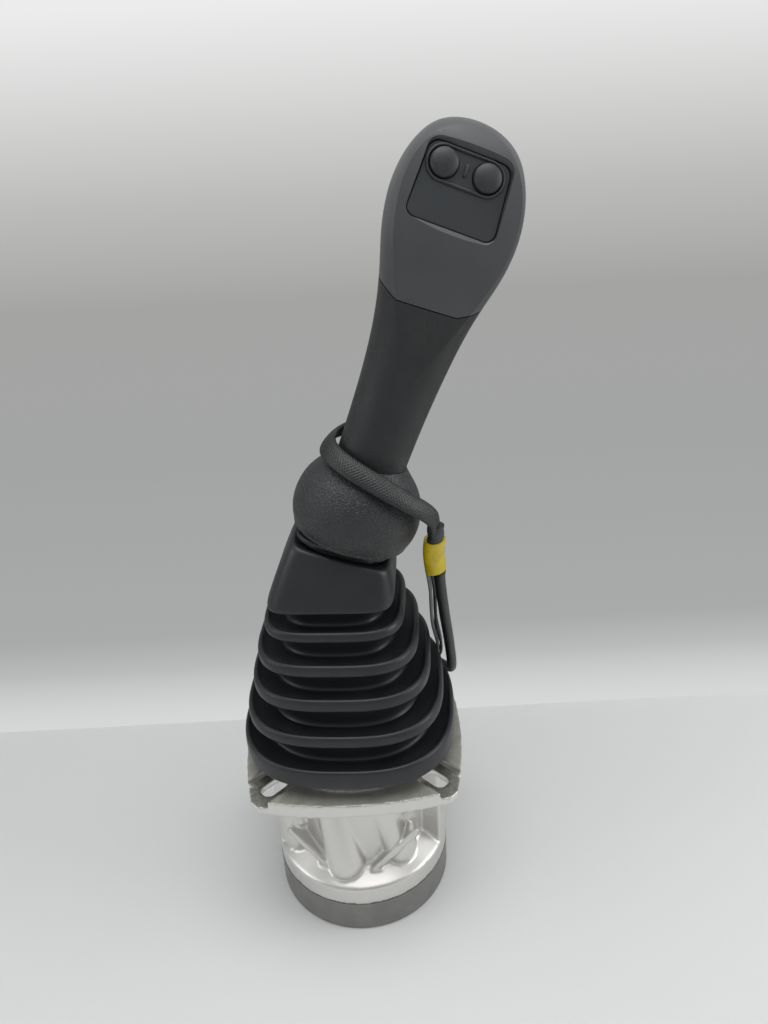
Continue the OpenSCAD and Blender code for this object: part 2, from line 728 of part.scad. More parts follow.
module grip_hollow() {
  difference() {
    grip_cavity();
    grip_screw_places() translate([0, 0, -40]) cylinder(r = 4.2, h = 80);
  }
  grip_screw_places() translate([0, 0, -14]) cylinder(r = grip_screw_r + run_fit, h = 60);
}

module bezel_region() {
  translate([0, split_y, 0]) rotate([90, 0, 0]) linear_extrude(60)
    polygon(concat(bezel_bottom, [[45, 220], [-45, 220]]));
}

module panel_outline(inset) {
  r = panel_corner_r;
  hull() for (c = [[panel_top_half, panel_half_h], [panel_low_half, -panel_half_h]], s = [-1, 1])
    translate([s * (c[0] - r), c[1] - sign(c[1]) * r]) circle(r = r - inset, $fn = 32);
}

// the panel's own frame: +X right, +Y up the panel, +Z out towards the thumb
module in_panel() {
  in_lever() translate([panel_x, panel_y, panel_s]) rotate([90 - panel_tilt, 0, 0]) children();
}

module grip_shell() {
  color("#1f2023") in_lever() difference() {
    grip_outer();
    bezel_region();
    grip_hollow();
    translate([0, 0, 30]) cylinder(r = rod_r + run_fit, h = 40);
    translate([lead_side_x, 10.7, lead_hole_s]) cylinder(r = 3, h = 10);
    translate([lead_side_x, 10.7, lead_hole_s]) rotate([-90, 0, 0]) cylinder(r = 4.2, h = 20);
    grip_screw_places() translate([0, 0, 14]) cylinder(r = 3.8, h = 20);
  }
}

module grip_bezel() {
  color("#3c3d40") difference() {
    in_lever() difference() {
      intersection() {
        grip_outer();
        bezel_region();
      }
      grip_hollow();
    }
    in_panel() {
      translate([0, 0, -panel_t]) linear_extrude(20) panel_outline(-move_gap / 2);
      translate([0, 0, -12]) linear_extrude(14) panel_outline(2);
    }
  }
}

module grip_clamp() {
  color("silver") in_lever() translate([0, 0, neck_solid_s])
    ring(neck_half - shell_wall - 5.5, rod_r + run_fit, clamp_h);
}

module grip_screws() {
  color("silver") in_lever() grip_screw_places() difference() {
    union() {
      translate([0, 0, -12]) cylinder(r = grip_screw_r, h = 27);
      translate([0, 0, 14]) cylinder(r = 3.6, h = 2.2);
    }
    translate([0, 0, 15]) cylinder(r = 1.4, h = 4, $fn = 6);
  }
}

module button_places() {
  for (s = [-1, 1]) translate([buttons_x + s * button_gap / 2, buttons_z, 0]) children();
}

module switch_panel() {
  color("#232427") in_panel() difference() {
    translate([0, 0, -panel_t]) linear_extrude(panel_t) panel_outline(0.1);
    button_places() translate([0, 0, -10]) cylinder(r = button_r + move_gap, h = 20);
  }
}

module stadium(r) {
  for (s = [-1, 1]) translate([s * button_gap / 2, 0]) circle(r = r);
  square([button_gap, 2 * r], center = true);
}

module button_ring() {
  color("#2c2d30") in_panel() translate([buttons_x, buttons_z, 0]) linear_extrude(1) {
    difference() {
      stadium(button_r + 1.2);
      stadium(button_r + 0.5);
    }
    square([1.2, 5], center = true);
  }
}

module button(s) {
  r = button_r;
  in_panel() translate([buttons_x + s * button_gap / 2, buttons_z, 0]) rotate_extrude()
    polygon([[0, -stem_len], [2, -stem_len], [2, -panel_t - move_gap - 1],
      [r + button_flange, -panel_t - move_gap - 1], [r + button_flange, -panel_t - move_gap],
      [r, -panel_t - move_gap], [r, 1.2], [r - 0.5, 1.9], [r - 1.6, 2.5], [r - 3.2, 2.9], [0, 3.1]]);
}

module button_left() { color("#18191b") button(-1); }
module button_right() { color("#2a2b2e") button(1); }

module micro_switch(s) {
  in_panel() translate([buttons_x + s * button_gap / 2, buttons_z, -switch_face]) {
    translate([-switch_size[0] / 2, -switch_size[1] / 2, -switch_size[2]]) cube(switch_size);
    translate([0, 0, -0.5]) cylinder(r = 1.6, h = 0.8);
  }
}

module switch_left() { color("black") micro_switch(-1); }
module switch_right() { color("black") micro_switch(1); }

module switch_bracket() {
  back = switch_face + switch_size[2];
  color("dimgray") in_panel() {
    translate([buttons_x - 16, buttons_z - 18, -back - bracket_t]) cube([32, 22, bracket_t]);
    for (s = [-1, 1]) translate([buttons_x + s * 11, buttons_z - 15, -back])
      cylinder(r = 2.4, h = back - panel_t);
  }
}

// ---- harness ------------------------------------------------------------

inner_route = [[-4, -1, 158], [-4, 6, 148], [-3, 10.7, 134], [-3, 10.7, 110], [-3, 10.7, 90],
  [-3, 10.7, 72], [-3, 10.8, 61], [-3, 12, 57], [-3, 14, 56], [-3, 17.8, 56]];
sleeve_route = [[-3, 18.8, 56], [-3.2, 20.3, 56], [-6, 21.9, 55.4], [-12, 21, 53.5], [-19, 12.5, 51], [-21.8, 0, 49.5],
  [-19, -11, 49.5], [-11, -19.5, 49], [2, -24, 47], [16, -25.5, 44], [27, -22, 40.5], [34.5, -18, 36],
  [37.8, -15.5, 30.5]];
shrink_route = [[46.4, -15.5, 232.9], [46.7, -14.3, 230], [46.5, -13.2, 227.3]];
tape_route = [[46.2, -12.4, 226.4], [45.8, -9.5, 217], [46.8, -6.5, 206]];
tail_route = [[49, -6.5, 205.3], [49.1, -3, 197.5], [51.6, 5, 174], [55, 16, 147], [57.5, 28, 121],
  [56, 38, 112], [50, 50, 108], [44, 62, 104], [41, 72, 86], [40, 78, 50], [40, 82, 20], [40, 86, 8],
  [40, 90.5, 3.9], [40, 95.6, 3.5]];
lead_route = [[43.6, -6.5, 205.4], [45.3, -1, 191], [46.4, 8, 167], [50, 24, 142], [51, 40, 123],
  [49, 46, 117], [44, 54, 114], [38, 62, 108], [35, 71, 88], [34, 77, 50], [34, 81, 20], [34, 86, 8],
  [34.3, 91, 4.7], [34.5, 95.7, 4.5]];
lead_spread = 1.05;
connector_size = [24, 24, 9];
connector_at = [26, 96, 0];

module inner_lead() {
  color("dimgray") in_lever() cord(inner_route, 3.5, 8);
}

module cable_grommet() {
  color("black") in_lever() translate([lead_side_x, 13.2, lead_hole_s]) rotate([-90, 0, 0])
    ring(4.1, 2.2, 4.4);
}

module braided_sleeve() {
  color("#141416") in_lever() cord(sleeve_route, sleeve_d - 2, 10);
}

module heat_shrink() { color("#2b2c2e") cord(shrink_route, shrink_d - 2, 12); }
module marker_tape() { color("#d9c410") cord(tape_route, tape_d, 12); }
module braided_tail() { color("#121214") cord(tail_route, tail_d, 8); }

module lead(u, v) {
  last = len(lead_route) - 1;
  cord([for (i = [0:last])
    lead_route[i] + lead_spread * [u, i == last ? 0 : v, v * (i == 0 ? 0.25 : 1)]], wire_d, 8);
}

module lead_grey() { color("gray") lead(-1, -1); }
module lead_red() { color("crimson") lead(-1, 1); }
module lead_blue() { color("royalblue") lead(1, 1); }
module lead_black() { color("#101010") lead(1, -1); }

module tail_connector() {
  color("#202022") translate(connector_at) difference() {
    cube(connector_size);
    translate([3, 12, 2]) cube([connector_size[0] - 6, 20, connector_size[2] - 4]);
  }
}

port_block();
port_seals();
valve_body();
block_screws();
retaining_plate();
plate_screws();
plunger_guides();
rod_wipers();
return_springs();
metering_springs();
plunger_left();
plunger_right();
plunger_front();
plunger_rear();
spring_seat_left();
spring_seat_right();
spring_seat_front();
spring_seat_rear();
spool_left();
spool_right();
spool_front();
spool_rear();
lower_yoke();
joint_cross();
upper_yoke();
cam_plate();
cam_nut();
lever_rod();
rod_nut();
bellows_boot();
boot_top_plate();
bell_skirt();
grip_shell();
grip_bezel();
grip_clamp();
grip_screws();
switch_panel();
button_ring();
button_left();
button_right();
switch_left();
switch_right();
switch_bracket();
inner_lead();
cable_grommet();
braided_sleeve();
heat_shrink();
marker_tape();
braided_tail();
lead_grey();
lead_red();
lead_blue();
lead_black();
tail_connector();
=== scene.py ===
import math

import bpy
from mathutils import Matrix, Vector


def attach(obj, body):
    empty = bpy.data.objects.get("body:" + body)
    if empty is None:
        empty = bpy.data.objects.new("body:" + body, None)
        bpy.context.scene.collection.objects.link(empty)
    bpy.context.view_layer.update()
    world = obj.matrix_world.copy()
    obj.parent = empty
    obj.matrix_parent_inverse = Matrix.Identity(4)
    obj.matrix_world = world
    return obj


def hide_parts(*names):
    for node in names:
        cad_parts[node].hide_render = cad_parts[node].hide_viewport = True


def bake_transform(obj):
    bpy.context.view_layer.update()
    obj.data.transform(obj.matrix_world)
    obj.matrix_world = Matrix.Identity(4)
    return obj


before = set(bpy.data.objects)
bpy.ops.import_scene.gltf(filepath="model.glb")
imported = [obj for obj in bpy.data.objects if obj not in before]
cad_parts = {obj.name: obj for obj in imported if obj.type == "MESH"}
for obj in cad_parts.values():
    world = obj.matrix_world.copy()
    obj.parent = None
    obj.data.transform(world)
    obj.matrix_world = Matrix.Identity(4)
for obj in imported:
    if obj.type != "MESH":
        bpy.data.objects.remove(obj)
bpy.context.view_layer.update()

mm = 0.001

# the frames that the pieces are modelled in, in millimetres
leverFrame = Matrix.Translation((0, 0, 219)) @ Matrix.Rotation(math.radians(21.8), 4, "Y")
bellFrame = Matrix.Translation((10, 0, 240)) @ Matrix.Rotation(math.radians(18), 4, "Y")
panelFrame = leverFrame @ Matrix.Translation((-5.5, -19.3, 171.5)) @ Matrix.Rotation(math.radians(71), 4, "X")
rowFrame = Matrix.Identity(4)


def only(piece):
    # select one piece and nothing else
    bpy.ops.object.select_all(action="DESELECT")
    piece.select_set(True)
    bpy.context.view_layer.objects.active = piece


def newest(name):
    piece = bpy.context.object
    piece.name = piece.data.name = name
    return piece


def useModifier(piece, kind, **settings):
    only(piece)
    modifier = piece.modifiers.new(kind.lower(), kind)
    for key, value in settings.items():
        setattr(modifier, key, value)
    bpy.ops.object.modifier_apply(modifier=modifier.name)


def cut(piece, tool, operation="DIFFERENCE", keepTool=False):
    useModifier(piece, "BOOLEAN", operation=operation, solver="EXACT", object=tool)
    if not keepTool:
        bpy.data.objects.remove(tool, do_unlink=True)


def faceOutwards(piece, merge=0.001):
    only(piece)
    bpy.ops.object.mode_set(mode="EDIT")
    bpy.ops.mesh.select_all(action="SELECT")
    bpy.ops.mesh.remove_doubles(threshold=merge)
    bpy.ops.mesh.normals_make_consistent(inside=False)
    bpy.ops.object.mode_set(mode="OBJECT")


def copyOf(piece, name):
    twin = piece.copy()
    twin.data = piece.data.copy()
    twin.name = twin.data.name = name
    bpy.context.collection.objects.link(twin)
    return twin


def unitTube(name, rowCount, sides):
    # a tube one unit high for each row, shaped afterwards by its rows
    bpy.ops.object.select_all(action="DESELECT")
    bpy.ops.mesh.primitive_circle_add(vertices=sides, radius=1, location=(0, 0, 0))
    piece = newest(name)
    bpy.ops.object.mode_set(mode="EDIT")
    bpy.ops.mesh.select_all(action="SELECT")
    for row in range(rowCount - 1):
        bpy.ops.mesh.extrude_edges_move(TRANSFORM_OT_translate={"value": (0, 0, 1)})
    bpy.ops.object.mode_set(mode="OBJECT")
    return piece


def turned(name, profile, sides=64):
    # a turned piece from its (radius, height) profile; a radius of 0 closes it
    piece = unitTube(name, len(profile), sides)
    for vertex in piece.data.vertices:
        radius, height = profile[round(vertex.co.z)]
        around = math.atan2(vertex.co.y, vertex.co.x)
        vertex.co = (radius * math.cos(around), radius * math.sin(around), height)
    faceOutwards(piece)
    return piece


def squarePoint(halfX, halfY, squareness, around):
    # a rounded square: a higher squareness has tighter corners
    c, s = math.cos(around), math.sin(around)
    power = 2 / squareness
    return halfX * math.copysign(abs(c) ** power, c), halfY * math.copysign(abs(s) ** power, s)


def closeRing(piece, height, near=0.01):
    # caps the open ring at that height
    only(piece)
    bpy.ops.object.mode_set(mode="EDIT")
    bpy.ops.mesh.select_all(action="DESELECT")
    bpy.ops.object.mode_set(mode="OBJECT")
    for vertex in piece.data.vertices:
        vertex.select = abs(vertex.co.z - height) < near
    bpy.ops.object.mode_set(mode="EDIT")
    bpy.ops.mesh.edge_face_add()
    bpy.ops.object.mode_set(mode="OBJECT")


def settle(piece, place, smooth=35):
    # from millimetres in its own frame to metres in the shared one
    piece.data.transform(piece.matrix_world)
    piece.matrix_world = Matrix.Identity(4)
    piece.data.transform(Matrix.Scale(mm, 4) @ place)
    only(piece)
    bpy.ops.object.shade_smooth_by_angle(angle=math.radians(smooth))
    return piece


def dress(piece, material):
    piece.data.materials.clear()
    piece.data.materials.append(material)


def linear(code):
    # sRGB hex to the linear colour that the shader wants
    parts = [int(code[k:k + 2], 16) / 255 for k in (1, 3, 5)]
    return tuple(p / 12.92 if p <= 0.04045 else ((p + 0.055) / 1.055) ** 2.4 for p in parts) + (1.0,)


def addNode(tree, kind, settings=None, **inputs):
    # underscores in an input's name stand for spaces, and a socket is linked
    node = tree.nodes.new(kind)
    for key, value in (settings or {}).items():
        setattr(node, key, value)
    for key, value in inputs.items():
        name = int(key[1:]) if key[0] == "n" and key[1:].isdigit() else key.replace("_", " ")
        if isinstance(value, bpy.types.NodeSocket):
            tree.links.new(value, node.inputs[name])
        else:
            node.inputs[name].default_value = value
    return node


def startMaterial(name, look):
    # colour patches, uneven roughness and a fine relief, all in real millimetres
    material = bpy.data.materials.new(name)
    material.use_nodes = True
    tree = material.node_tree
    shader = tree.nodes["Principled BSDF"]
    where = addNode(tree, "ShaderNodeTexCoord").outputs["Object"]
    shader.inputs["Metallic"].default_value = look.get("metallic", 0.0)
    if "ior" in look:
        shader.inputs["IOR"].default_value = look["ior"]
    for key in ("Coat Weight", "Coat Roughness", "Sheen Weight", "Sheen Roughness"):
        if key in look:
            shader.inputs[key].default_value = look[key]
    patches = addNode(tree, "ShaderNodeTexNoise", Vector=where, Scale=1 / (look["patch"] * mm), Detail=4.0)
    blend = addNode(tree, "ShaderNodeMapRange", Value=patches.outputs["Fac"], From_Min=0.35, From_Max=0.65)
    colour = addNode(tree, "ShaderNodeMix", {"data_type": "RGBA"}, Factor=blend.outputs[0],
                     n6=linear(look["colour"]), n7=linear(look["patchColour"]))
    tree.links.new(colour.outputs[2], shader.inputs["Base Color"])
    wear = addNode(tree, "ShaderNodeTexNoise", Vector=where, Scale=1 / (look["wear"] * mm), Detail=3.0)
    rough = addNode(tree, "ShaderNodeMapRange", Value=wear.outputs["Fac"], From_Min=0.3, From_Max=0.7,
                    To_Min=look["rough"][0], To_Max=look["rough"][1])
    tree.links.new(rough.outputs[0], shader.inputs["Roughness"])
    last = None
    for size, depth in look.get("grit", []):
        grit = addNode(tree, "ShaderNodeTexNoise", Vector=where, Scale=1 / (size * mm), Detail=2.0)
        last = raised(tree, grit.outputs["Fac"], depth, last)
    if last:
        tree.links.new(last, shader.inputs["Normal"])
    return material, tree, shader, where


def raised(tree, height, depth, under=None):
    # relief of that depth in millimetres over what lies under it
    bump = addNode(tree, "ShaderNodeBump", Strength=1.0, Distance=depth * mm, Height=height)
    if under:
        tree.links.new(under, bump.inputs["Normal"])
    return bump.outputs["Normal"]


def normalOf(shader):
    links = shader.inputs["Normal"].links
    return links[0].from_socket if links else None


def plainFinish(name, **look):
    return startMaterial(name, look)[0]


def grainedFinish(name, grain, depth, **look):
    # moulded leather grain: rounded cells of uneven size with creases between them
    material, tree, shader, where = startMaterial(name, look)
    drift = addNode(tree, "ShaderNodeTexNoise", Vector=where, Scale=0.6 / (grain * mm), Detail=2.0)
    shift = addNode(tree, "ShaderNodeVectorMath", {"operation": "SCALE"}, n0=drift.outputs["Color"],
                    Scale=1.1 * grain * mm)
    moved = addNode(tree, "ShaderNodeVectorMath", {"operation": "ADD"}, n0=where, n1=shift.outputs[0])
    cells = addNode(tree, "ShaderNodeTexVoronoi", {"feature": "DISTANCE_TO_EDGE"},
                    Vector=moved.outputs[0], Scale=1 / (grain * mm))
    pillow = addNode(tree, "ShaderNodeMapRange", {"interpolation_type": "SMOOTHSTEP"},
                     Value=cells.outputs["Distance"], From_Min=0.0, From_Max=0.32)
    tree.links.new(raised(tree, pillow.outputs[0], depth, normalOf(shader)), shader.inputs["Normal"])
    return material


def braidFinish(name, strand, **look):
    # plaited yarn on the piece's own UV map, which runs in millimetres; painted shade darkens the creases between the
    # strands
    material, tree, shader, where = startMaterial(name, look)
    uv = addNode(tree, "ShaderNodeUVMap", {"uv_map": "length"}).outputs["UV"]
    parts = addNode(tree, "ShaderNodeSeparateXYZ", Vector=uv)
    lean = [addNode(tree, "ShaderNodeMath", {"operation": kind}, n0=parts.outputs[0], n1=parts.outputs[1])
            for kind in ("ADD", "SUBTRACT")]
    waves = [addNode(tree, "ShaderNodeMath", {"operation": "SINE"},
                     n0=addNode(tree, "ShaderNodeMath", {"operation": "MULTIPLY"},
                                n0=side.outputs[0], n1=2 * math.pi / strand).outputs[0]) for side in lean]
    top = addNode(tree, "ShaderNodeMath", {"operation": "MAXIMUM"}, n0=waves[0].outputs[0],
                  n1=waves[1].outputs[0])
    height = addNode(tree, "ShaderNodeMapRange", Value=top.outputs[0], From_Min=-0.6, From_Max=1.0)
    # painted shade: the colour runs from the yarn's own down to near-black in the creases between strands
    shade = addNode(tree, "ShaderNodeMix", {"data_type": "RGBA"}, Factor=height.outputs[0],
                    n6=linear(look["crease"]), n7=linear(look["colour"]))
    tree.links.new(shade.outputs[2], shader.inputs["Base Color"])
    tree.links.new(raised(tree, height.outputs[0], 0.12, normalOf(shader)), shader.inputs["Normal"])
    return material


finishes = {
    # turned free-cutting steel, phosphated: an even dull grey with faint blotches
    "turnedSteel": plainFinish("turnedSteel", colour="#8a8a88", patchColour="#838381", patch=9, metallic=0.55,
                               rough=(0.46, 0.56), wear=6, grit=[(0.5, 0.006)]),
    # gravity die-cast aluminium, blasted: pale dull grey, slightly warm, with a sandy skin
    "castAluminium": plainFinish("castAluminium", colour="#b4b3ac", patchColour="#a5a49c", patch=7, metallic=0.6,
                                 rough=(0.45, 0.62), wear=3, grit=[(0.9, 0.035), (0.45, 0.03)]),
    # the same casting's flange top, coarser: glittering grains
    "sandCastTop": plainFinish("sandCastTop", colour="#aeada6", patchColour="#8f8e88", patch=1.6, metallic=0.85,
                               rough=(0.28, 0.5), wear=0.8, grit=[(1.0, 0.09), (0.5, 0.06)]),
    # milled aluminium: brighter, with soft reflections
    "milledAluminium": plainFinish("milledAluminium", colour="#b9b9b6", patchColour="#adada9", patch=5,
                                   metallic=0.95, rough=(0.22, 0.32), wear=2, grit=[(0.35, 0.004)]),
    # zinc-plated steel: bluish silver
    "zincSteel": plainFinish("zincSteel", colour="#b7bbbf", patchColour="#a6aaad", patch=3, metallic=1.0,
                             rough=(0.25, 0.38), wear=1.5, grit=[(0.3, 0.003)]),
    # black-oxide screw steel
    "blackSteel": plainFinish("blackSteel", colour="#2b2b2d", patchColour="#242426", patch=3, metallic=0.8,
                              rough=(0.35, 0.5), wear=1.5, grit=[(0.3, 0.003)]),
    # turned bronze bushes
    "bronze": plainFinish("bronze", colour="#a88850", patchColour="#98783f", patch=4, metallic=1.0,
                          rough=(0.28, 0.4), wear=2, grit=[(0.3, 0.003)]),
    # moulded EPDM bellows: satin, blue-black, a little chalky where it was handled
    "bellowsRubber": plainFinish("bellowsRubber", colour="#191b1e", patchColour="#1e2023", patch=16,
                                 rough=(0.36, 0.47), wear=11, ior=1.52, grit=[(0.4, 0.004)]),
    "sealRubber": plainFinish("sealRubber", colour="#17181a", patchColour="#1d1e20", patch=3,
                              rough=(0.4, 0.5), wear=2, ior=1.52, grit=[(0.3, 0.003)]),
    # soft PVC bell with a moulded leather grain; the grain is drawn a little coarse so that it shows
    "grainedVinyl": grainedFinish("grainedVinyl", 1.5, 0.16, colour="#232426", patchColour="#292a2c", patch=12,
                                  rough=(0.34, 0.44), wear=5, ior=1.53, grit=[(0.35, 0.008)]),
    # the grip's rear shell: finer grain, duller
    "gripVinyl": grainedFinish("gripVinyl", 1.1, 0.07, colour="#1c1d1f", patchColour="#212224", patch=18,
                               rough=(0.42, 0.52), wear=7, ior=1.5, grit=[(0.35, 0.006)]),
    # spark-eroded dark grey ABS: matt, evenly speckled
    "bezelAbs": plainFinish("bezelAbs", colour="#434446", patchColour="#404143", patch=20,
                            rough=(0.4, 0.48), wear=9, ior=1.53, grit=[(0.3, 0.02)]),
    # finer ABS of the switch panel: satin and bluish
    "panelAbs": plainFinish("panelAbs", colour="#2f3235", patchColour="#2c2f32", patch=16,
                            rough=(0.36, 0.43), wear=8, ior=1.53, grit=[(0.3, 0.004)]),
    # push-button rubber: matt
    "buttonRubber": plainFinish("buttonRubber", colour="#2b2c2e", patchColour="#303133", patch=4,
                                rough=(0.42, 0.52), wear=2, ior=1.5, grit=[(0.3, 0.006)]),
    # moulded nylon of switches and plug
    "nylon": plainFinish("nylon", colour="#1b1c1e", patchColour="#202123", patch=6,
                         rough=(0.4, 0.5), wear=3, ior=1.53, grit=[(0.3, 0.006)]),
    # plaited polyester monofilament: bundles of shiny yarn, with painted shade near-black in the creases between them
    "braidedPolyester": braidFinish("braidedPolyester", 1.5, colour="#27282a", patchColour="#1c1d1f",
                                    crease="#060607", patch=2, rough=(0.3, 0.42), wear=1, ior=1.57,
                                    grit=[(0.25, 0.01)]),
    # recovered polyolefin tube: satin with soft creases
    "heatShrink": plainFinish("heatShrink", colour="#1d1e20", patchColour="#27282a", patch=2.5,
                              rough=(0.3, 0.42), wear=2, ior=1.49, grit=[(2.2, 0.25), (0.5, 0.02)]),
    "pvcGrey": plainFinish("pvcGrey", colour="#77787a", patchColour="#6f7072", patch=4,
                           rough=(0.3, 0.4), wear=3, ior=1.53, grit=[(0.5, 0.004)]),
    "pvcRed": plainFinish("pvcRed", colour="#a3132e", patchColour="#92102a", patch=4,
                          rough=(0.3, 0.4), wear=3, ior=1.53, grit=[(0.5, 0.004)]),
    "pvcBlue": plainFinish("pvcBlue", colour="#3d6f9c", patchColour="#36648f", patch=4,
                           rough=(0.3, 0.4), wear=3, ior=1.53, grit=[(0.5, 0.004)]),
    "pvcBlack": plainFinish("pvcBlack", colour="#161719", patchColour="#1b1c1e", patch=4,
                            rough=(0.3, 0.4), wear=3, ior=1.53, grit=[(0.5, 0.004)]),
    # yellow PVC insulating tape, wound by hand: glossy with shallow wrinkles
    "vinylTape": plainFinish("vinylTape", colour="#cdb50c", patchColour="#bfa708", patch=5,
                             rough=(0.22, 0.34), wear=3, ior=1.53, grit=[(3.0, 0.25), (0.8, 0.02)]),
}
print("materials ready")


view = {"place": (0.02267, -0.33744, 0.40056), "pitch": 26.0, "roll": -3.05, "lens": 27.07}


def buildCamera():
    pitch, roll = math.radians(view["pitch"]), math.radians(view["roll"])
    ahead = Vector((0, math.cos(pitch), -math.sin(pitch)))
    level = Vector((1, 0, 0))
    upright = level.cross(ahead)
    side = level * math.cos(roll) + upright * math.sin(roll)
    top = upright * math.cos(roll) - level * math.sin(roll)
    bpy.ops.object.camera_add(location=view["place"])
    camera = bpy.context.object
    turn = Matrix((side, top, -ahead)).transposed()
    camera.rotation_euler = turn.to_euler()
    camera.data.lens = view["lens"]
    camera.data.sensor_width = 36
    camera.data.clip_start, camera.data.clip_end = 0.01, 20
    bpy.context.scene.camera = camera


studio = {"wallY": 0.16, "cove": 0.035, "wallTop": 0.9, "halfWidth": 1.1, "front": -1.1,
          "floorColour": "#dcdddc",
          # wall colour by height in metres: painted light and shade, pale at the cove, darker across the middle of the
          # wall and lighter towards its top
          "wall": [(0.0, "#d6d8d7"), (0.03, "#b9bbba"), (0.06, "#a9abaa"), (0.2, "#a3a5a4"),
                   (0.31, "#a4a4a3"), (0.37, "#bbbbba"), (0.41, "#cfcfce"), (0.47, "#ececec")]}


def buildStudio():
    # a floor that curls up into a back wall
    bpy.ops.object.select_all(action="DESELECT")
    bpy.ops.mesh.primitive_plane_add(size=1, location=(0, 0, 0))
    sweep = newest("paperSweep")
    wide, back, curl = studio["halfWidth"], studio["wallY"], studio["cove"]
    for vertex in sweep.data.vertices:
        vertex.co = (math.copysign(wide, vertex.co.x), studio["front"] if vertex.co.y < 0 else back - curl, 0)
    steps = 8
    bpy.ops.object.mode_set(mode="EDIT")
    bpy.ops.mesh.select_all(action="DESELECT")
    bpy.ops.object.mode_set(mode="OBJECT")
    for edge in sweep.data.edges:
        edge.select = all(sweep.data.vertices[k].co.y > 0 for k in edge.vertices)
    bpy.ops.object.mode_set(mode="EDIT")
    for k in range(steps):
        a, b = (math.pi / 2 * j / steps for j in (k, k + 1))
        bpy.ops.mesh.extrude_edges_move(TRANSFORM_OT_translate={"value": (
            0, curl * (math.sin(b) - math.sin(a)), curl * (math.cos(a) - math.cos(b)))})
    bpy.ops.mesh.extrude_edges_move(TRANSFORM_OT_translate={"value": (0, 0, studio["wallTop"])})
    bpy.ops.object.mode_set(mode="OBJECT")
    bpy.ops.object.shade_smooth()

    material = bpy.data.materials.new("paper")
    material.use_nodes = True
    tree = material.node_tree
    tree.nodes.clear()
    where = addNode(tree, "ShaderNodeTexCoord").outputs["Object"]
    height = addNode(tree, "ShaderNodeSeparateXYZ", Vector=where).outputs[2]
    scaled = addNode(tree, "ShaderNodeMath", {"operation": "DIVIDE"}, n0=height, n1=0.5)
    # painted light and shade: the wall's colour steps with its height
    ramp = addNode(tree, "ShaderNodeValToRGB", Fac=scaled.outputs[0])
    stops = ramp.color_ramp.elements
    while len(stops) < len(studio["wall"]):
        stops.new(0.5)
    for stop, (z, code) in zip(stops, studio["wall"]):
        stop.position, stop.color = z / 0.5, linear(code)
    onWall = addNode(tree, "ShaderNodeMath", {"operation": "GREATER_THAN"}, n0=height, n1=0.0005)
    paper = addNode(tree, "ShaderNodeMix", {"data_type": "RGBA"}, Factor=onWall.outputs[0],
                    n6=linear(studio["floorColour"]), n7=ramp.outputs[0])
    diffuse = addNode(tree, "ShaderNodeBsdfDiffuse", Color=paper.outputs[2])
    # camera rays see the wall's painted light and shade as a glow
    glow = addNode(tree, "ShaderNodeEmission", Color=ramp.outputs[0], Strength=1.0)
    seen = addNode(tree, "ShaderNodeLightPath").outputs["Is Camera Ray"]
    lit = addNode(tree, "ShaderNodeMath", {"operation": "MULTIPLY"}, n0=seen, n1=onWall.outputs[0])
    front = addNode(tree, "ShaderNodeMixShader", n0=lit.outputs[0], n1=diffuse.outputs[0], n2=glow.outputs[0])
    # the wall isn't seen from behind
    behind = addNode(tree, "ShaderNodeNewGeometry").outputs["Backfacing"]
    clear = addNode(tree, "ShaderNodeBsdfTransparent")
    whole = addNode(tree, "ShaderNodeMixShader", n0=behind, n1=front.outputs[0], n2=clear.outputs[0])
    addNode(tree, "ShaderNodeOutputMaterial", Surface=whole.outputs[0])
    sweep.data.materials.append(material)

    world = bpy.data.worlds.new("room")
    bpy.context.scene.world = world
    world.use_nodes = True
    shade = world.node_tree.nodes["Background"]
    shade.inputs["Color"].default_value = linear("#dfe1e2")
    shade.inputs["Strength"].default_value = 0.55

    lamps = {"ceiling": ((0.05, -0.05, 1.15), (0, 0, 0), 0.9, 7.5),
             "right": ((0.95, -0.15, 0.55), (0, math.radians(72), 0), 0.6, 3.2),
             "left": ((-0.95, -0.25, 0.6), (0, math.radians(-68), 0), 0.6, 1.8)}
    for name, (place, turn, size, power) in lamps.items():
        bpy.ops.object.light_add(type="AREA", location=place, rotation=turn)
        lamp = newest(name)
        lamp.data.size, lamp.data.energy = size, power
    bpy.context.scene.view_settings.view_transform = "Standard"


buildCamera()
buildStudio()
print("camera and studio ready")


def smoothPath(points, step):
    # one smooth line through the points, a point every step of its length
    ends = [points[0] * 2 - points[1]] + points + [points[-1] * 2 - points[-2]]
    line = []
    for k in range(1, len(ends) - 2):
        p0, p1, p2, p3 = ends[k - 1:k + 3]
        count = max(1, round((p2 - p1).length / step))
        for j in range(count):
            t = j / count
            line.append(0.5 * (2 * p1 + (p2 - p0) * t + (2 * p0 - 5 * p1 + 4 * p2 - p3) * t ** 2
                               + (3 * p1 - p0 - 3 * p2 + p3) * t ** 3))
    return line + [points[-1]]


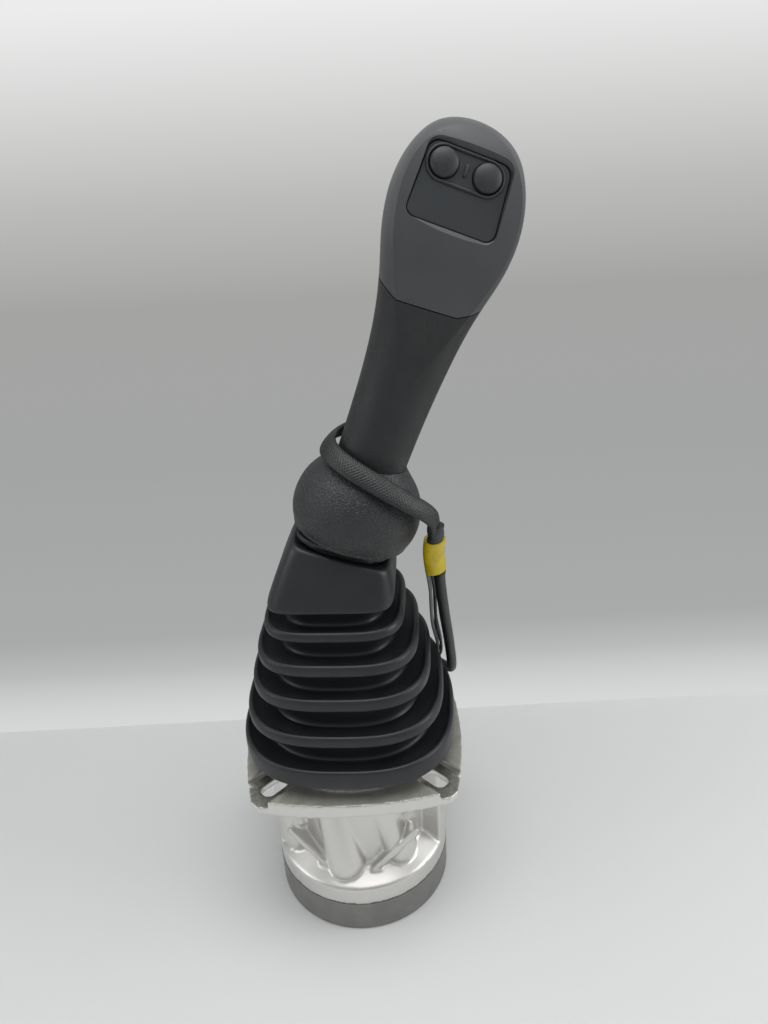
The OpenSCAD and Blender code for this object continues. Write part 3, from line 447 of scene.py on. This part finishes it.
def sweptCord(name, line, width, thick, faceAway=None, sides=12, yarn=0.0, depth=0.0):
    # a cord of oval section; faceAway gives the direction that its flat side faces
    points, faces, uvs = [], [], []
    travelled, up = 0.0, Vector((0, 0, 1))
    girth = math.pi * (width + thick) / 2
    turns = max(2, 2 * round(girth / yarn / 2)) if yarn else 0
    pitch = girth / turns if yarn else 1
    for i, here in enumerate(line):
        ahead = (line[min(i + 1, len(line) - 1)] - line[max(i - 1, 0)]).normalized()
        if i:
            travelled += (here - line[i - 1]).length
        if faceAway:
            up = faceAway(i, here)
        across = ahead.cross(up).normalized()
        up = across.cross(ahead).normalized()
        for j in range(sides):
            around = 2 * math.pi * j / sides
            lift = 0.0
            if yarn:
                a = (travelled + j / sides * girth) / pitch
                b = (travelled - j / sides * girth) / pitch
                over = (math.floor(a) + math.floor(b)) % 2
                acrossYarn, alongYarn = (b % 1, a % 1) if over else (a % 1, b % 1)
                lift = depth * (math.sin(math.pi * acrossYarn) * (0.7 + 0.3 * math.sin(math.pi * alongYarn)) - 0.6)
            points.append(here + across * math.cos(around) * (width / 2 + lift)
                          + up * math.sin(around) * (thick / 2 + lift))
            uvs.append((travelled, j / sides * girth))
    rows = len(line)
    for i in range(rows - 1):
        for j in range(sides):
            k = (j + 1) % sides
            faces.append((i * sides + j, i * sides + k, (i + 1) * sides + k, (i + 1) * sides + j))
    faces.append(tuple(reversed(range(sides))))
    faces.append(tuple((rows - 1) * sides + j for j in range(sides)))
    mesh = bpy.data.meshes.new(name)
    mesh.from_pydata(points, [], faces)
    layer = mesh.uv_layers.new(name="length")
    for polygon in mesh.polygons:
        for loop in polygon.loop_indices:
            index = mesh.loops[loop].vertex_index
            u, v = uvs[index]
            if index % sides == 0 and any(mesh.loops[k].vertex_index % sides == sides - 1
                                          for k in polygon.loop_indices):
                v = girth
            layer.data[loop].uv = (u, v)
    cord = bpy.data.objects.new(name, mesh)
    bpy.context.collection.objects.link(cord)
    faceOutwards(cord, 0.0001)
    return cord


harness = {
    # the sleeve goes once round the neck, in the lever's frame
    "sleeve": [(-3, 18.8, 56), (-3.2, 20.3, 56), (-6, 21.9, 55.4), (-12, 21, 53.5), (-19, 12.5, 51),
               (-21.8, 0, 49.5), (-19, -11, 49.5), (-11, -19.5, 49), (2, -24, 47), (16, -25.5, 44),
               (27, -22, 40.5), (34.5, -18, 36), (37.8, -15.5, 30.5)],
    "shrink": [(46.4, -15.5, 232.9), (46.7, -14.3, 230), (46.5, -13.2, 227.3)],
    "tape": [(46.2, -12.4, 226.4), (45.8, -9.5, 217), (46.8, -6.5, 206)],
    "tail": [(49, -6.5, 205.3), (49.1, -3, 197.5), (51.6, 5, 174), (55, 16, 147), (57.5, 28, 121), (56, 38, 112),
             (50, 50, 108), (44, 62, 104), (41, 72, 86), (40, 78, 50), (40, 82, 20), (40, 86, 8), (40, 90.5, 3.9),
             (40, 95.6, 3.5)],
    "lead": [(43.6, -6.5, 205.4), (45.3, -1, 191), (46.4, 8, 167), (50, 24, 142), (51, 40, 123), (49, 46, 117),
             (44, 54, 114), (38, 62, 108), (35, 71, 88), (34, 77, 50), (34, 81, 20), (34, 86, 8), (34.3, 91, 4.7),
             (34.5, 95.7, 4.5)],
    "spread": 1.05, "splitZ": 150.0,
    "leads": {"Grey": (-1, -1), "Red": (-1, 1), "Blue": (1, 1), "Black": (1, -1)},
}


def buildPlug():
    # a plain two-row plug: bevelled nylon body, a socket cut into its end and grip grooves across its top
    bpy.ops.object.select_all(action="DESELECT")
    bpy.ops.mesh.primitive_cube_add(size=1, location=(38, 108, 4.5))
    plug = newest("harnessPlug")
    plug.scale = (23.6, 23.6, 8.8)
    bpy.ops.object.transform_apply(location=True, scale=True)
    bpy.ops.object.mode_set(mode="EDIT")
    bpy.ops.mesh.select_all(action="SELECT")
    bpy.ops.mesh.bevel(offset=0.9, segments=3)
    bpy.ops.object.mode_set(mode="OBJECT")
    bpy.ops.mesh.primitive_cube_add(size=1, location=(38, 116, 4.5))
    socket = newest("socket")
    socket.scale = (18, 14, 5)
    cut(plug, socket)
    for k in range(4):
        bpy.ops.mesh.primitive_cube_add(size=1, location=(38, 99.5 + 2.6 * k, 9.1))
        groove = newest("groove")
        groove.scale = (16, 1.2, 1.6)
        cut(plug, groove)
    settle(plug, rowFrame, 30)
    return plug


def buildHarness():
    plug = buildPlug()
    dress(plug, finishes["nylon"])
    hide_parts("tail_connector")
    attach(plug, "valve")

    # braided sleeve, lying flat on the neck and the bell's shoulder
    line = smoothPath([Vector(p) for p in harness["sleeve"]], 0.5)
    last = len(line) - 1

    def awayFromNeck(i, here):
        share = i / last
        out = Vector((here.x, here.y, 0)).normalized()
        rise = 0.25 + 0.5 * min(1, share / 0.5)
        if share > 0.8:
            rise = 0.75 - 0.5 * (share - 0.8) / 0.2
        return (out + Vector((0, 0, rise))).normalized()

    sleeve = sweptCord("braidedSleeve", line, 9.6, 3.4, awayFromNeck, 56, 1.5, 0.42)
    settle(sleeve, leverFrame, 80)
    dress(sleeve, finishes["braidedPolyester"])
    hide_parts("braided_sleeve")
    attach(sleeve, "lever")

    # heat-shrink tube, squeezed flat at the sleeve's end
    shrinkLine = smoothPath([leverFrame @ Vector((37.2, -15.9, 32.6))] + [Vector(p) for p in harness["shrink"]]
                       + [Vector((46.3, -12.6, 225.9))], 0.6)
    shrink = sweptCord("heatShrinkTube", shrinkLine, 8.6, 6.4, lambda i, p: Vector((0.5, -1, 0.2)), 28)
    settle(shrink, rowFrame, 60)
    dress(shrink, finishes["heatShrink"])
    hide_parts("heat_shrink")
    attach(shrink, "lever")

    # the taped joint, a little flattened
    tapeLine = smoothPath([Vector(p) for p in harness["tape"]], 0.5)
    tape = sweptCord("yellowTape", tapeLine, 11, 8.2, lambda i, p: Vector((0.3, -1, 0.2)), 40)
    settle(tape, rowFrame, 40)
    dress(tape, finishes["vinylTape"])
    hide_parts("marker_tape")
    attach(tape, "lever")

    def splitCord(name, points, width, finish, node, sides, yarn=0.0, depth=0.0):
        # cut in two at the split height; both halves are baked into the shared frame
        whole = smoothPath(points, 0.55 if yarn else 2.0)
        at = next(k for k, p in enumerate(whole) if p.z < harness["splitZ"])
        halves = (("Upper", whole[:at + 1], ("cross", "lever"), points[0].z),
                  ("Lower", whole[at:], ("valve", "cross"), harness["splitZ"]))
        for part, run, bodies, top in halves:
            cord = sweptCord(name + part, run, width, width, None, sides, yarn, depth)
            settle(cord, rowFrame, 80)
            dress(cord, finishes[finish])
            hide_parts(node)
            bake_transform(cord)

    splitCord("braidedTail", [Vector(p) for p in harness["tail"]], 5.6, "braidedPolyester",
              "braided_tail", 32, 1.25, 0.22)
    points = [Vector(p) for p in harness["lead"]]
    for colour, (u, v) in harness["leads"].items():
        run = [p + harness["spread"] * Vector((u, 0 if k == len(points) - 1 else v, v * (0.25 if k == 0 else 1)))
               for k, p in enumerate(points)]
        splitCord("lead" + colour, run, 1.8, "pvc" + colour, "lead_" + colour.lower(), 12)


buildHarness()
print("harness ready")


bellows = {
    "turn": -4.0, "drift": -0.045, "base": 56.7, "foot": (107.5, 39.0), "wall": 1.4, "valley": 8.0,
    # each convolution: height of its lower edge, share of the base width, face height, squareness
    "rings": [(112, 1.0, 11, 2.7), (134, 0.912, 6.5, 2.9), (151.5, 0.813, 7, 3.1), (168.5, 0.725, 6.5, 3.4),
              (184.5, 0.623, 5.5, 3.8)],
    "collarZ": 198.0, "collarHalf": 31.3, "collarSquare": 6.0, "topHalf": 24.8, "topS": -18.5, "topX": -2.4,
    "grooveHalf": 18.5, "plateS": -16.0, "sides": 96, "lean": 18.0,
}


def bellowsRows():
    # each row: centre x, centre z, half width, squareness, lean
    b = bellows
    rows = [(b["foot"][0], b["foot"][1], 2.0), (b["foot"][0] + 2.2, b["foot"][1] + 0.5, 2.0),
            (110.2, b["foot"][1] + 6, 2.3)]
    split = 0
    for k, (z, share, face, square) in enumerate(b["rings"]):
        w = b["base"] * share
        nextZ = b["rings"][k + 1][0] if k < 4 else b["collarZ"]
        nextHalf = b["base"] * b["rings"][k + 1][1] if k < 4 else b["collarHalf"]
        deep = min(w, nextHalf + 1) - b["valley"]
        soft = square - 0.2
        rows += [(z - 1.3, w - 7.0, soft), (z - 1.5, w - 4.6, soft), (z - 1.2, w - 3.6, soft),
                 (z - 0.3, w - 3.1, soft), (z + 0.1, w - 2.2, square), (z + 0.1, w - 1.2, square),
                 (z + 0.7, w - 0.35, square), (z + 1.5, w - 0.05, square), (z + face * 0.5, w, square),
                 (z + face - 1.5, w - 0.35, square), (z + face - 0.6, w - 0.75, square),
                 (z + face, w - 1.5, square), (z + face + 0.05, w - 2.3, square),
                 (z + face - 0.6, w - 3.1, square), (z + face - 2.0, w - 3.9, soft)]
        low = z + face - 3.2
        rows += [(low, min(w - 5.5, deep + 2), soft), (low - 0.2, deep, soft)]
        if k == 1:
            split = len(rows) - 1
        rows += [(low + 1.2, deep - 1.4, soft), ((low + nextZ) / 2, deep - 1.2, soft), (nextZ - 2.6, deep - 0.8, soft)]
    rows = [(b["drift"] * (z - 100), z, half, square, 0.0) for z, half, square in rows]
    lean = math.radians(b["lean"])
    topX = 10 + b["topS"] * math.sin(lean) + b["topX"] * math.cos(lean)
    topZ = 240 + b["topS"] * math.cos(lean) - b["topX"] * math.sin(lean)
    plateX = 10 + b["plateS"] * math.sin(lean) + b["topX"] * math.cos(lean)
    plateZ = 240 + b["plateS"] * math.cos(lean) - b["topX"] * math.sin(lean)
    lowX = b["drift"] * (b["collarZ"] - 100)

    def between(t, half, dz=0.0, square=b["collarSquare"]):
        return (lowX + (topX - lowX) * t, b["collarZ"] + (topZ - b["collarZ"]) * t + dz, half, square, lean * t)

    def width(t):
        return b["collarHalf"] + (b["topHalf"] - b["collarHalf"]) * t

    rows += [between(0, b["collarHalf"] - 6, 0.2, 5), between(0, b["collarHalf"] - 3.2, -0.2, 5.5),
             between(0, b["collarHalf"] - 2.0, 0.1), between(0, b["collarHalf"] - 0.9, 0.2),
             between(0, b["collarHalf"] - 0.25, 0.9), between(0, b["collarHalf"], 2.0)]
    rows += [between(t, width(t) + 0.5 * math.sin(math.pi * t)) for t in (0.25, 0.5, 0.75, 0.9)]
    rows += [between(0.965, width(0.965) - 0.1), between(1, width(1) - 0.7, -0.15), between(1, width(1) - 1.8, 0.25),
             between(1, width(1) - 3.0, 0.1), between(1, width(1) - 4.4, -1.2)]
    rows += [(topX, topZ - 2.2, b["grooveHalf"] + 0.6, 4, lean), (topX, topZ - 1.4, b["grooveHalf"] - 0.6, 4, lean),
             (plateX, plateZ - 0.3, b["grooveHalf"] - 0.6, 4, lean)]
    return rows, split


def buildBellows():
    rows, split = bellowsRows()
    turn = math.radians(bellows["turn"])

    def skin(name, chosen):
        piece = unitTube(name, len(chosen), bellows["sides"])
        for vertex in piece.data.vertices:
            x0, z0, half, square, lean = chosen[round(vertex.co.z)]
            x, y = squarePoint(half, half, square, math.atan2(vertex.co.y, vertex.co.x))
            x, y = x * math.cos(turn) - y * math.sin(turn), x * math.sin(turn) + y * math.cos(turn)
            vertex.co = (x0 + x * math.cos(lean), y, z0 - x * math.sin(lean))
        only(piece)
        bpy.ops.object.mode_set(mode="EDIT")
        bpy.ops.mesh.select_all(action="SELECT")
        bpy.ops.mesh.normals_make_consistent(inside=False)
        bpy.ops.object.mode_set(mode="OBJECT")
        # an open skin may come out facing in: its foot ring tells
        face = max(piece.data.polygons, key=lambda p: p.center.x)
        if face.normal.x < 0:
            piece.data.flip_normals()
        useModifier(piece, "SUBSURF", levels=1, render_levels=1)
        useModifier(piece, "SOLIDIFY", thickness=0.9, offset=-1)
        settle(piece, rowFrame, 60)
        dress(piece, finishes["bellowsRubber"])
        return piece

    lower = skin("bellowsLower", rows[:split + 1])
    upper = skin("bellowsUpper", rows[split:])
    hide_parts("bellows_boot")
    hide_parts("bellows_boot")
    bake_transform(lower)
    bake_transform(upper)


buildBellows()
print("bellows ready")


bell = {"profile": [(17.1, 25.6), (17.1, 26.3), (18.3, 24.6), (20, 22.4), (23, 19.3), (26.6, 15.2), (29.2, 10.4),
                    (30.7, 5.2), (31.35, 0.4), (31.2, -4), (30.3, -8), (29.2, -10.6), (28.6, -11.6), (28.8, -12.4),
                    (28.2, -13.3), (27.2, -13.5), (26.4, -12.9), (26.0, -11.2), (27.2, -8), (28.6, -3.8), (28.9, 0.4),
                    (28.3, 5), (26.8, 9.6), (24.2, 14), (20.8, 18), (17.1, 21.5)]}


def buildBell():
    # closed section: outside down, round the lip and up inside
    ring = bell["profile"]
    piece = unitTube("bellSkirt", len(ring) + 1, 96)
    for vertex in piece.data.vertices:
        radius, height = ring[round(vertex.co.z) % len(ring)]
        around = math.atan2(vertex.co.y, vertex.co.x)
        vertex.co = (radius * math.cos(around), radius * math.sin(around), height)
    faceOutwards(piece)
    useModifier(piece, "SUBSURF", levels=1, render_levels=1)
    settle(piece, bellFrame, 60)
    dress(piece, finishes["grainedVinyl"])
    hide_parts("bell_skirt")
    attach(piece, "lever")


def buildTopPlate():
    # thin moulded washer between collar and bell, with rounded corners and edges
    bpy.ops.object.select_all(action="DESELECT")
    bpy.ops.mesh.primitive_plane_add(size=45, location=(0, 0, 0))
    plate = newest("bootTopPlate")
    bpy.ops.object.mode_set(mode="EDIT")
    bpy.ops.mesh.select_all(action="SELECT")
    bpy.ops.mesh.bevel(offset=10, segments=10, affect="VERTICES")
    bpy.ops.mesh.extrude_region_move(TRANSFORM_OT_translate={"value": (0, 0, 2.2)})
    bpy.ops.object.mode_set(mode="OBJECT")
    faceOutwards(plate)
    bpy.ops.mesh.primitive_cylinder_add(vertices=48, radius=11, depth=20)
    hole = newest("rodHole")
    hole.location.x = 2.4
    plate.rotation_euler.z = math.radians(bellows["turn"])
    cut(plate, hole)
    useModifier(plate, "BEVEL", width=0.5, segments=3, limit_method="ANGLE")
    settle(plate, bellFrame @ Matrix.Translation((-2.4, 0, -16)), 40)
    dress(plate, finishes["bellowsRubber"])
    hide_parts("boot_top_plate")
    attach(plate, "lever")


grip = {
    # along the leaning axis: height, left, right, front, back, front and back squareness, extra front to plane off
    "rows": [
        (38, -16.8, 16.8, -16.8, 16.8, 2, 2, 0), (52, -16.8, 16.8, -17, 17, 2, 2, 0),
        (70, -17.2, 16.9, -17.5, 17.2, 2.1, 2.1, 0), (85, -17.7, 17.4, -18, 17.6, 2.2, 2.1, 0),
        (100, -18.8, 18.2, -19, 18, 2.3, 2.1, 0.2), (112, -20.3, 18.8, -20.8, 18.5, 2.4, 2.2, 1.6),
        (122, -22.2, 19.6, -23, 19, 2.5, 2.2, 2.8), (131, -24.4, 20.7, -25.4, 19.6, 2.7, 2.2, 3.6),
        (139, -26.8, 22.2, -27.2, 20.2, 2.9, 2.3, 4.2), (147, -29.3, 23.8, -27.4, 21, 3.1, 2.3, 4.4),
        (156, -31, 24.8, -26, 22, 3.2, 2.3, 4.4), (165, -31.7, 24.6, -24, 22.6, 3.3, 2.3, 4.4),
        (174, -30.7, 22.6, -21.6, 22.6, 3.4, 2.3, 4.2), (181, -28.7, 19.9, -19.3, 21.6, 3.4, 2.3, 3.8),
        (187, -25.8, 16.6, -16.6, 19.5, 3.2, 2.3, 2.6), (191.5, -22.3, 12.8, -13.2, 16.5, 2.9, 2.2, 1.4),
        (194.8, -17.5, 7.5, -8.5, 12, 2.5, 2.1, 0.5), (196.6, -11, 1.5, -4, 6.5, 2.2, 2, 0),
        (197, -6.5, -3.5, 0, 3, 2, 2, 0)],
    "sides": 64, "crown": 2.6,
    "seam": [(-45, 131), (-27, 131), (-16, 125.5), (10, 126.5), (21, 132.5), (45, 132.5)],
    "splitY": 3.0, "gap": 0.22, "wall": 2.5,
}
panel = {"topHalf": 16.8, "lowHalf": 18.6, "halfHeight": 15.0, "corner": 4.5, "thick": 2.2,
         "buttonX": -0.5, "buttonY": 7.5, "gap": 17.8, "radius": 5.7}


def gripSolid():
    rows = grip["rows"]
    piece = unitTube("gripSolid", len(rows), grip["sides"])
    for vertex in piece.data.vertices:
        s, left, right, front, back, squareFront, squareBack, extra = rows[round(vertex.co.z)]
        around = math.atan2(vertex.co.y, vertex.co.x)
        front -= extra
        square = squareFront if around < 0 else squareBack
        x, y = squarePoint((right - left) / 2, (back - front) / 2, square, around)
        vertex.co = ((left + right) / 2 + x, (front + back) / 2 + y, s)
    closeRing(piece, rows[0][0])
    closeRing(piece, rows[-1][0])
    faceOutwards(piece)
    # subdivision smooths the capped solid, ends included
    useModifier(piece, "SUBSURF", levels=2, render_levels=2)
    return piece


def frontPlane():
    # the crowned surface that planes the head's front flat
    line = [(row[3], row[0]) for row in grip["rows"] if row[0] >= 85]
    line = [(-17.4, 60)] + line[:-3] + [(-8.2, 195.2), (-2, 199), (8, 203)]
    bpy.ops.object.select_all(action="DESELECT")
    bpy.ops.mesh.primitive_grid_add(x_subdivisions=16, y_subdivisions=1, size=1)
    tool = newest("frontPlane")
    bpy.ops.object.mode_set(mode="EDIT")
    bpy.ops.mesh.select_all(action="DESELECT")
    bpy.ops.object.mode_set(mode="OBJECT")
    for vertex in tool.data.vertices:
        vertex.co = (vertex.co.x * 110, 0, 0 if vertex.co.y < 0 else 1)
    for edge in tool.data.edges:
        edge.select = all(tool.data.vertices[k].co.z == 1 for k in edge.vertices)
    bpy.ops.object.mode_set(mode="EDIT")
    for k in range(len(line) - 2):
        bpy.ops.mesh.extrude_edges_move(TRANSFORM_OT_translate={"value": (0, 0, 1)})
    bpy.ops.object.mode_set(mode="OBJECT")
    for vertex in tool.data.vertices:
        y, s = line[round(vertex.co.z)]
        side = (vertex.co.x + 3) / 25
        vertex.co = (vertex.co.x, y + grip["crown"] * min(side * side, 3) * min(1, max(0, (s - 90) / 40)), s)
    useModifier(tool, "SUBSURF", levels=2, render_levels=2)
    only(tool)
    bpy.ops.object.mode_set(mode="EDIT")
    bpy.ops.mesh.select_all(action="SELECT")
    bpy.ops.mesh.extrude_region_move(TRANSFORM_OT_translate={"value": (0, -50, 0)})
    bpy.ops.object.mode_set(mode="OBJECT")
    faceOutwards(tool)
    return tool


def seamBlock(gap):
    # everything in front of the split and above the V of the bezel's lower edge
    outline = grip["seam"] + [(45, 220), (-45, 220)]
    bpy.ops.object.select_all(action="DESELECT")
    bpy.ops.mesh.primitive_circle_add(vertices=len(outline), radius=1, fill_type="NGON")
    block = newest("seamBlock")
    for vertex, (x, s) in zip(block.data.vertices, outline):
        vertex.co = (x, grip["splitY"] - gap, s + (gap if s < 200 else 0))
    bpy.ops.object.mode_set(mode="EDIT")
    bpy.ops.mesh.select_all(action="SELECT")
    bpy.ops.mesh.extrude_region_move(TRANSFORM_OT_translate={"value": (0, -60, 0)})
    bpy.ops.object.mode_set(mode="OBJECT")
    faceOutwards(block)
    return block


def panelPrism(name, grow, levels):
    # the panel's outline drawn up through (height, extra low, extra top, extra side) levels
    top, low, high = panel["topHalf"], panel["lowHalf"], panel["halfHeight"]
    bpy.ops.object.select_all(action="DESELECT")
    bpy.ops.mesh.primitive_plane_add(size=2)
    prism = newest(name)
    for vertex in prism.data.vertices:
        half = (top if vertex.co.y > 0 else low) + grow
        vertex.co = (math.copysign(half, vertex.co.x), math.copysign(high + grow, vertex.co.y), 0)
    bpy.ops.object.mode_set(mode="EDIT")
    bpy.ops.mesh.select_all(action="SELECT")
    bpy.ops.mesh.bevel(offset=panel["corner"], segments=8, affect="VERTICES")
    for k in range(len(levels) - 1):
        bpy.ops.mesh.extrude_region_move(TRANSFORM_OT_translate={"value": (0, 0, 1)})
    bpy.ops.object.mode_set(mode="OBJECT")
    for vertex in prism.data.vertices:
        height, extraLow, extraTop, extraSide = levels[round(vertex.co.z)]
        x, y = vertex.co.x, vertex.co.y
        vertex.co = (x * (1 + extraSide / low), y * (1 + (extraTop if y > 0 else extraLow) / high), height)
    faceOutwards(prism)
    return prism


def moveTo(piece, place):
    piece.data.transform(piece.matrix_world)
    piece.matrix_world = Matrix.Identity(4)
    piece.data.transform(place)


def buildGrip():
    toPanel = leverFrame.inverted() @ panelFrame
    solid = gripSolid()
    cut(solid, frontPlane())

    inside = copyOf(solid, "gripInside")
    bezel = copyOf(solid, "gripBezel")
    cut(bezel, seamBlock(grip["gap"]), "INTERSECT")
    recess = panelPrism("recess", 0.2, [(-3, 0, 0, 0), (0.1, 0, 0, 0), (8, 15, 9, 1.5)])
    moveTo(recess, toPanel)
    cut(bezel, recess)
    well = panelPrism("well", -2, [(-14, 0, 0, 0), (2, 0, 0, 0)])
    moveTo(well, toPanel)
    cut(bezel, well)
    useModifier(bezel, "BEVEL", width=0.35, segments=2, limit_method="ANGLE", angle_limit=math.radians(32))
    settle(bezel, leverFrame, 28)
    dress(bezel, finishes["bezelAbs"])
    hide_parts("grip_bezel")
    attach(bezel, "lever")

    shell = copyOf(solid, "gripShell")
    cut(shell, seamBlock(-grip["gap"]))
    settle(shell, leverFrame, 28)
    dress(shell, finishes["gripVinyl"])
    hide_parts("grip_shell")
    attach(shell, "lever")
    bpy.data.objects.remove(solid, do_unlink=True)
    bpy.data.objects.remove(inside, do_unlink=True)


def buildPanel():
    x0, y0, gap, r = panel["buttonX"], panel["buttonY"], panel["gap"], panel["radius"]
    plate = panelPrism("switchPanel", -0.1, [(-2.2, 0, 0, 0), (-0.35, 0, 0, 0), (0, -0.35, -0.35, -0.35)])
    for side in (-1, 1):
        bpy.ops.mesh.primitive_cylinder_add(vertices=48, radius=r + 0.35, depth=20,
                                            location=(x0 + side * gap / 2, y0, 0))
        cut(plate, newest("buttonHole"))
    settle(plate, panelFrame, 30)
    dress(plate, finishes["panelAbs"])
    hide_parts("switch_panel")
    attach(plate, "lever")

    # the raised bead round both buttons: a ring stretched into an oblong
    bpy.ops.object.select_all(action="DESELECT")
    bpy.ops.mesh.primitive_torus_add(major_segments=64, minor_segments=12, major_radius=r + 0.95, minor_radius=0.62)
    bead = newest("buttonBead")
    for vertex in bead.data.vertices:
        vertex.co.x += math.copysign(gap / 2, vertex.co.x)
    bead.location = (x0, y0, 0.25)
    bpy.ops.object.transform_apply(location=True)
    # the bar between them
    bpy.ops.object.select_all(action="DESELECT")
    bpy.ops.mesh.primitive_uv_sphere_add(segments=16, ring_count=10, radius=0.65, location=(0, 0, 0))
    bar = newest("bar")
    for vertex in bar.data.vertices:
        vertex.co.y += math.copysign(1.9, vertex.co.y)
    bar.location = (x0, y0, 0.3)
    bpy.ops.object.transform_apply(location=True)
    bpy.ops.object.select_all(action="DESELECT")
    bar.select_set(True)
    bead.select_set(True)
    bpy.context.view_layer.objects.active = bead
    bpy.ops.object.join()
    settle(bead, panelFrame, 80)
    dress(bead, finishes["panelAbs"])
    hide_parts("button_ring")
    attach(bead, "lever")

    for name, side in (("Left", -1), ("Right", 1)):
        profile = [(0, -7.6), (2, -7.6), (2, -3.5), (r + 0.9, -3.5), (r + 0.9, -2.5), (r, -2.5), (r, -0.5), (r, 0.9),
                   (r - 0.12, 1.5), (r - 0.5, 2.0), (r - 1.1, 2.35), (r - 2.4, 2.75), (1.6, 3.05), (0, 3.1)]
        button = turned("button" + name, profile)
        settle(button, panelFrame @ Matrix.Translation((x0 + side * gap / 2, y0, 0)), 50)
        dress(button, finishes["buttonRubber"])
        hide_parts("button_" + name.lower())
        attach(button, "button_" + name.lower())


buildBell()
buildTopPlate()
buildGrip()
buildPanel()
print("grip ready")


casting = {"voxel": 0.8, "smooth": 3, "keep": 0.5, "spigotR": 49.7, "flangeTop": 104.0, "channelZ": 100.0}


def buildCasting():
    # the solid's own form, softened all over as a casting is
    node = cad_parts["valve_body"]
    body = copyOf(node, "castBody")
    body.parent = None
    body.matrix_world = node.matrix_world
    body.hide_render = body.hide_viewport = False
    body.data.transform(body.matrix_world)
    body.matrix_world = Matrix.Identity(4)
    body.data.transform(Matrix.Scale(1 / mm, 4))
    faceOutwards(body, 0.002)
    useModifier(body, "REMESH", mode="VOXEL", voxel_size=casting["voxel"])
    useModifier(body, "SMOOTH", factor=0.6, iterations=casting["smooth"])
    useModifier(body, "DECIMATE", ratio=casting["keep"])
    settle(body, rowFrame, 60)
    for finish in ("castAluminium", "sandCastTop", "milledAluminium"):
        body.data.materials.append(finishes[finish])
    for face in body.data.polygons:
        x, y, z = (c / mm for c in face.center)
        radius = math.hypot(x, y)
        if radius < casting["spigotR"] + 0.6 and z > casting["flangeTop"] + 0.5:
            face.material_index = 2
        elif radius > casting["spigotR"] and abs(z - casting["channelZ"]) < 0.6 and face.normal.z > 0.8:
            face.material_index = 2
        elif z > casting["flangeTop"] - 0.8 and face.normal.z > 0.6:
            face.material_index = 1
        else:
            face.material_index = 0
    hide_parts("valve_body")
    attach(body, "valve")


buildCasting()
print("casting ready")


carriedOver = {
    "port_block": "turnedSteel", "port_seals": "sealRubber", "block_screws": "blackSteel",
    "retaining_plate": "zincSteel", "plate_screws": "blackSteel", "plunger_guides": "bronze",
    "rod_wipers": "sealRubber", "return_springs": "zincSteel", "metering_springs": "zincSteel",
    "lower_yoke": "blackSteel", "joint_cross": "zincSteel", "upper_yoke": "blackSteel", "cam_plate": "zincSteel",
    "cam_nut": "zincSteel", "rod_nut": "zincSteel", "lever_rod": "zincSteel", "grip_clamp": "zincSteel",
    "grip_screws": "blackSteel", "switch_left": "nylon", "switch_right": "nylon", "switch_bracket": "nylon",
    "inner_lead": "pvcGrey", "cable_grommet": "sealRubber",
}
for side in ("left", "right", "front", "rear"):
    carriedOver.update({"plunger_" + side: "zincSteel", "spring_seat_" + side: "zincSteel",
                        "spool_" + side: "zincSteel"})
for name, finish in carriedOver.items():
    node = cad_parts[name]
    for slotIndex in range(len(node.material_slots)):
        node.material_slots[slotIndex].material = finishes[finish]
print("finishes ready")
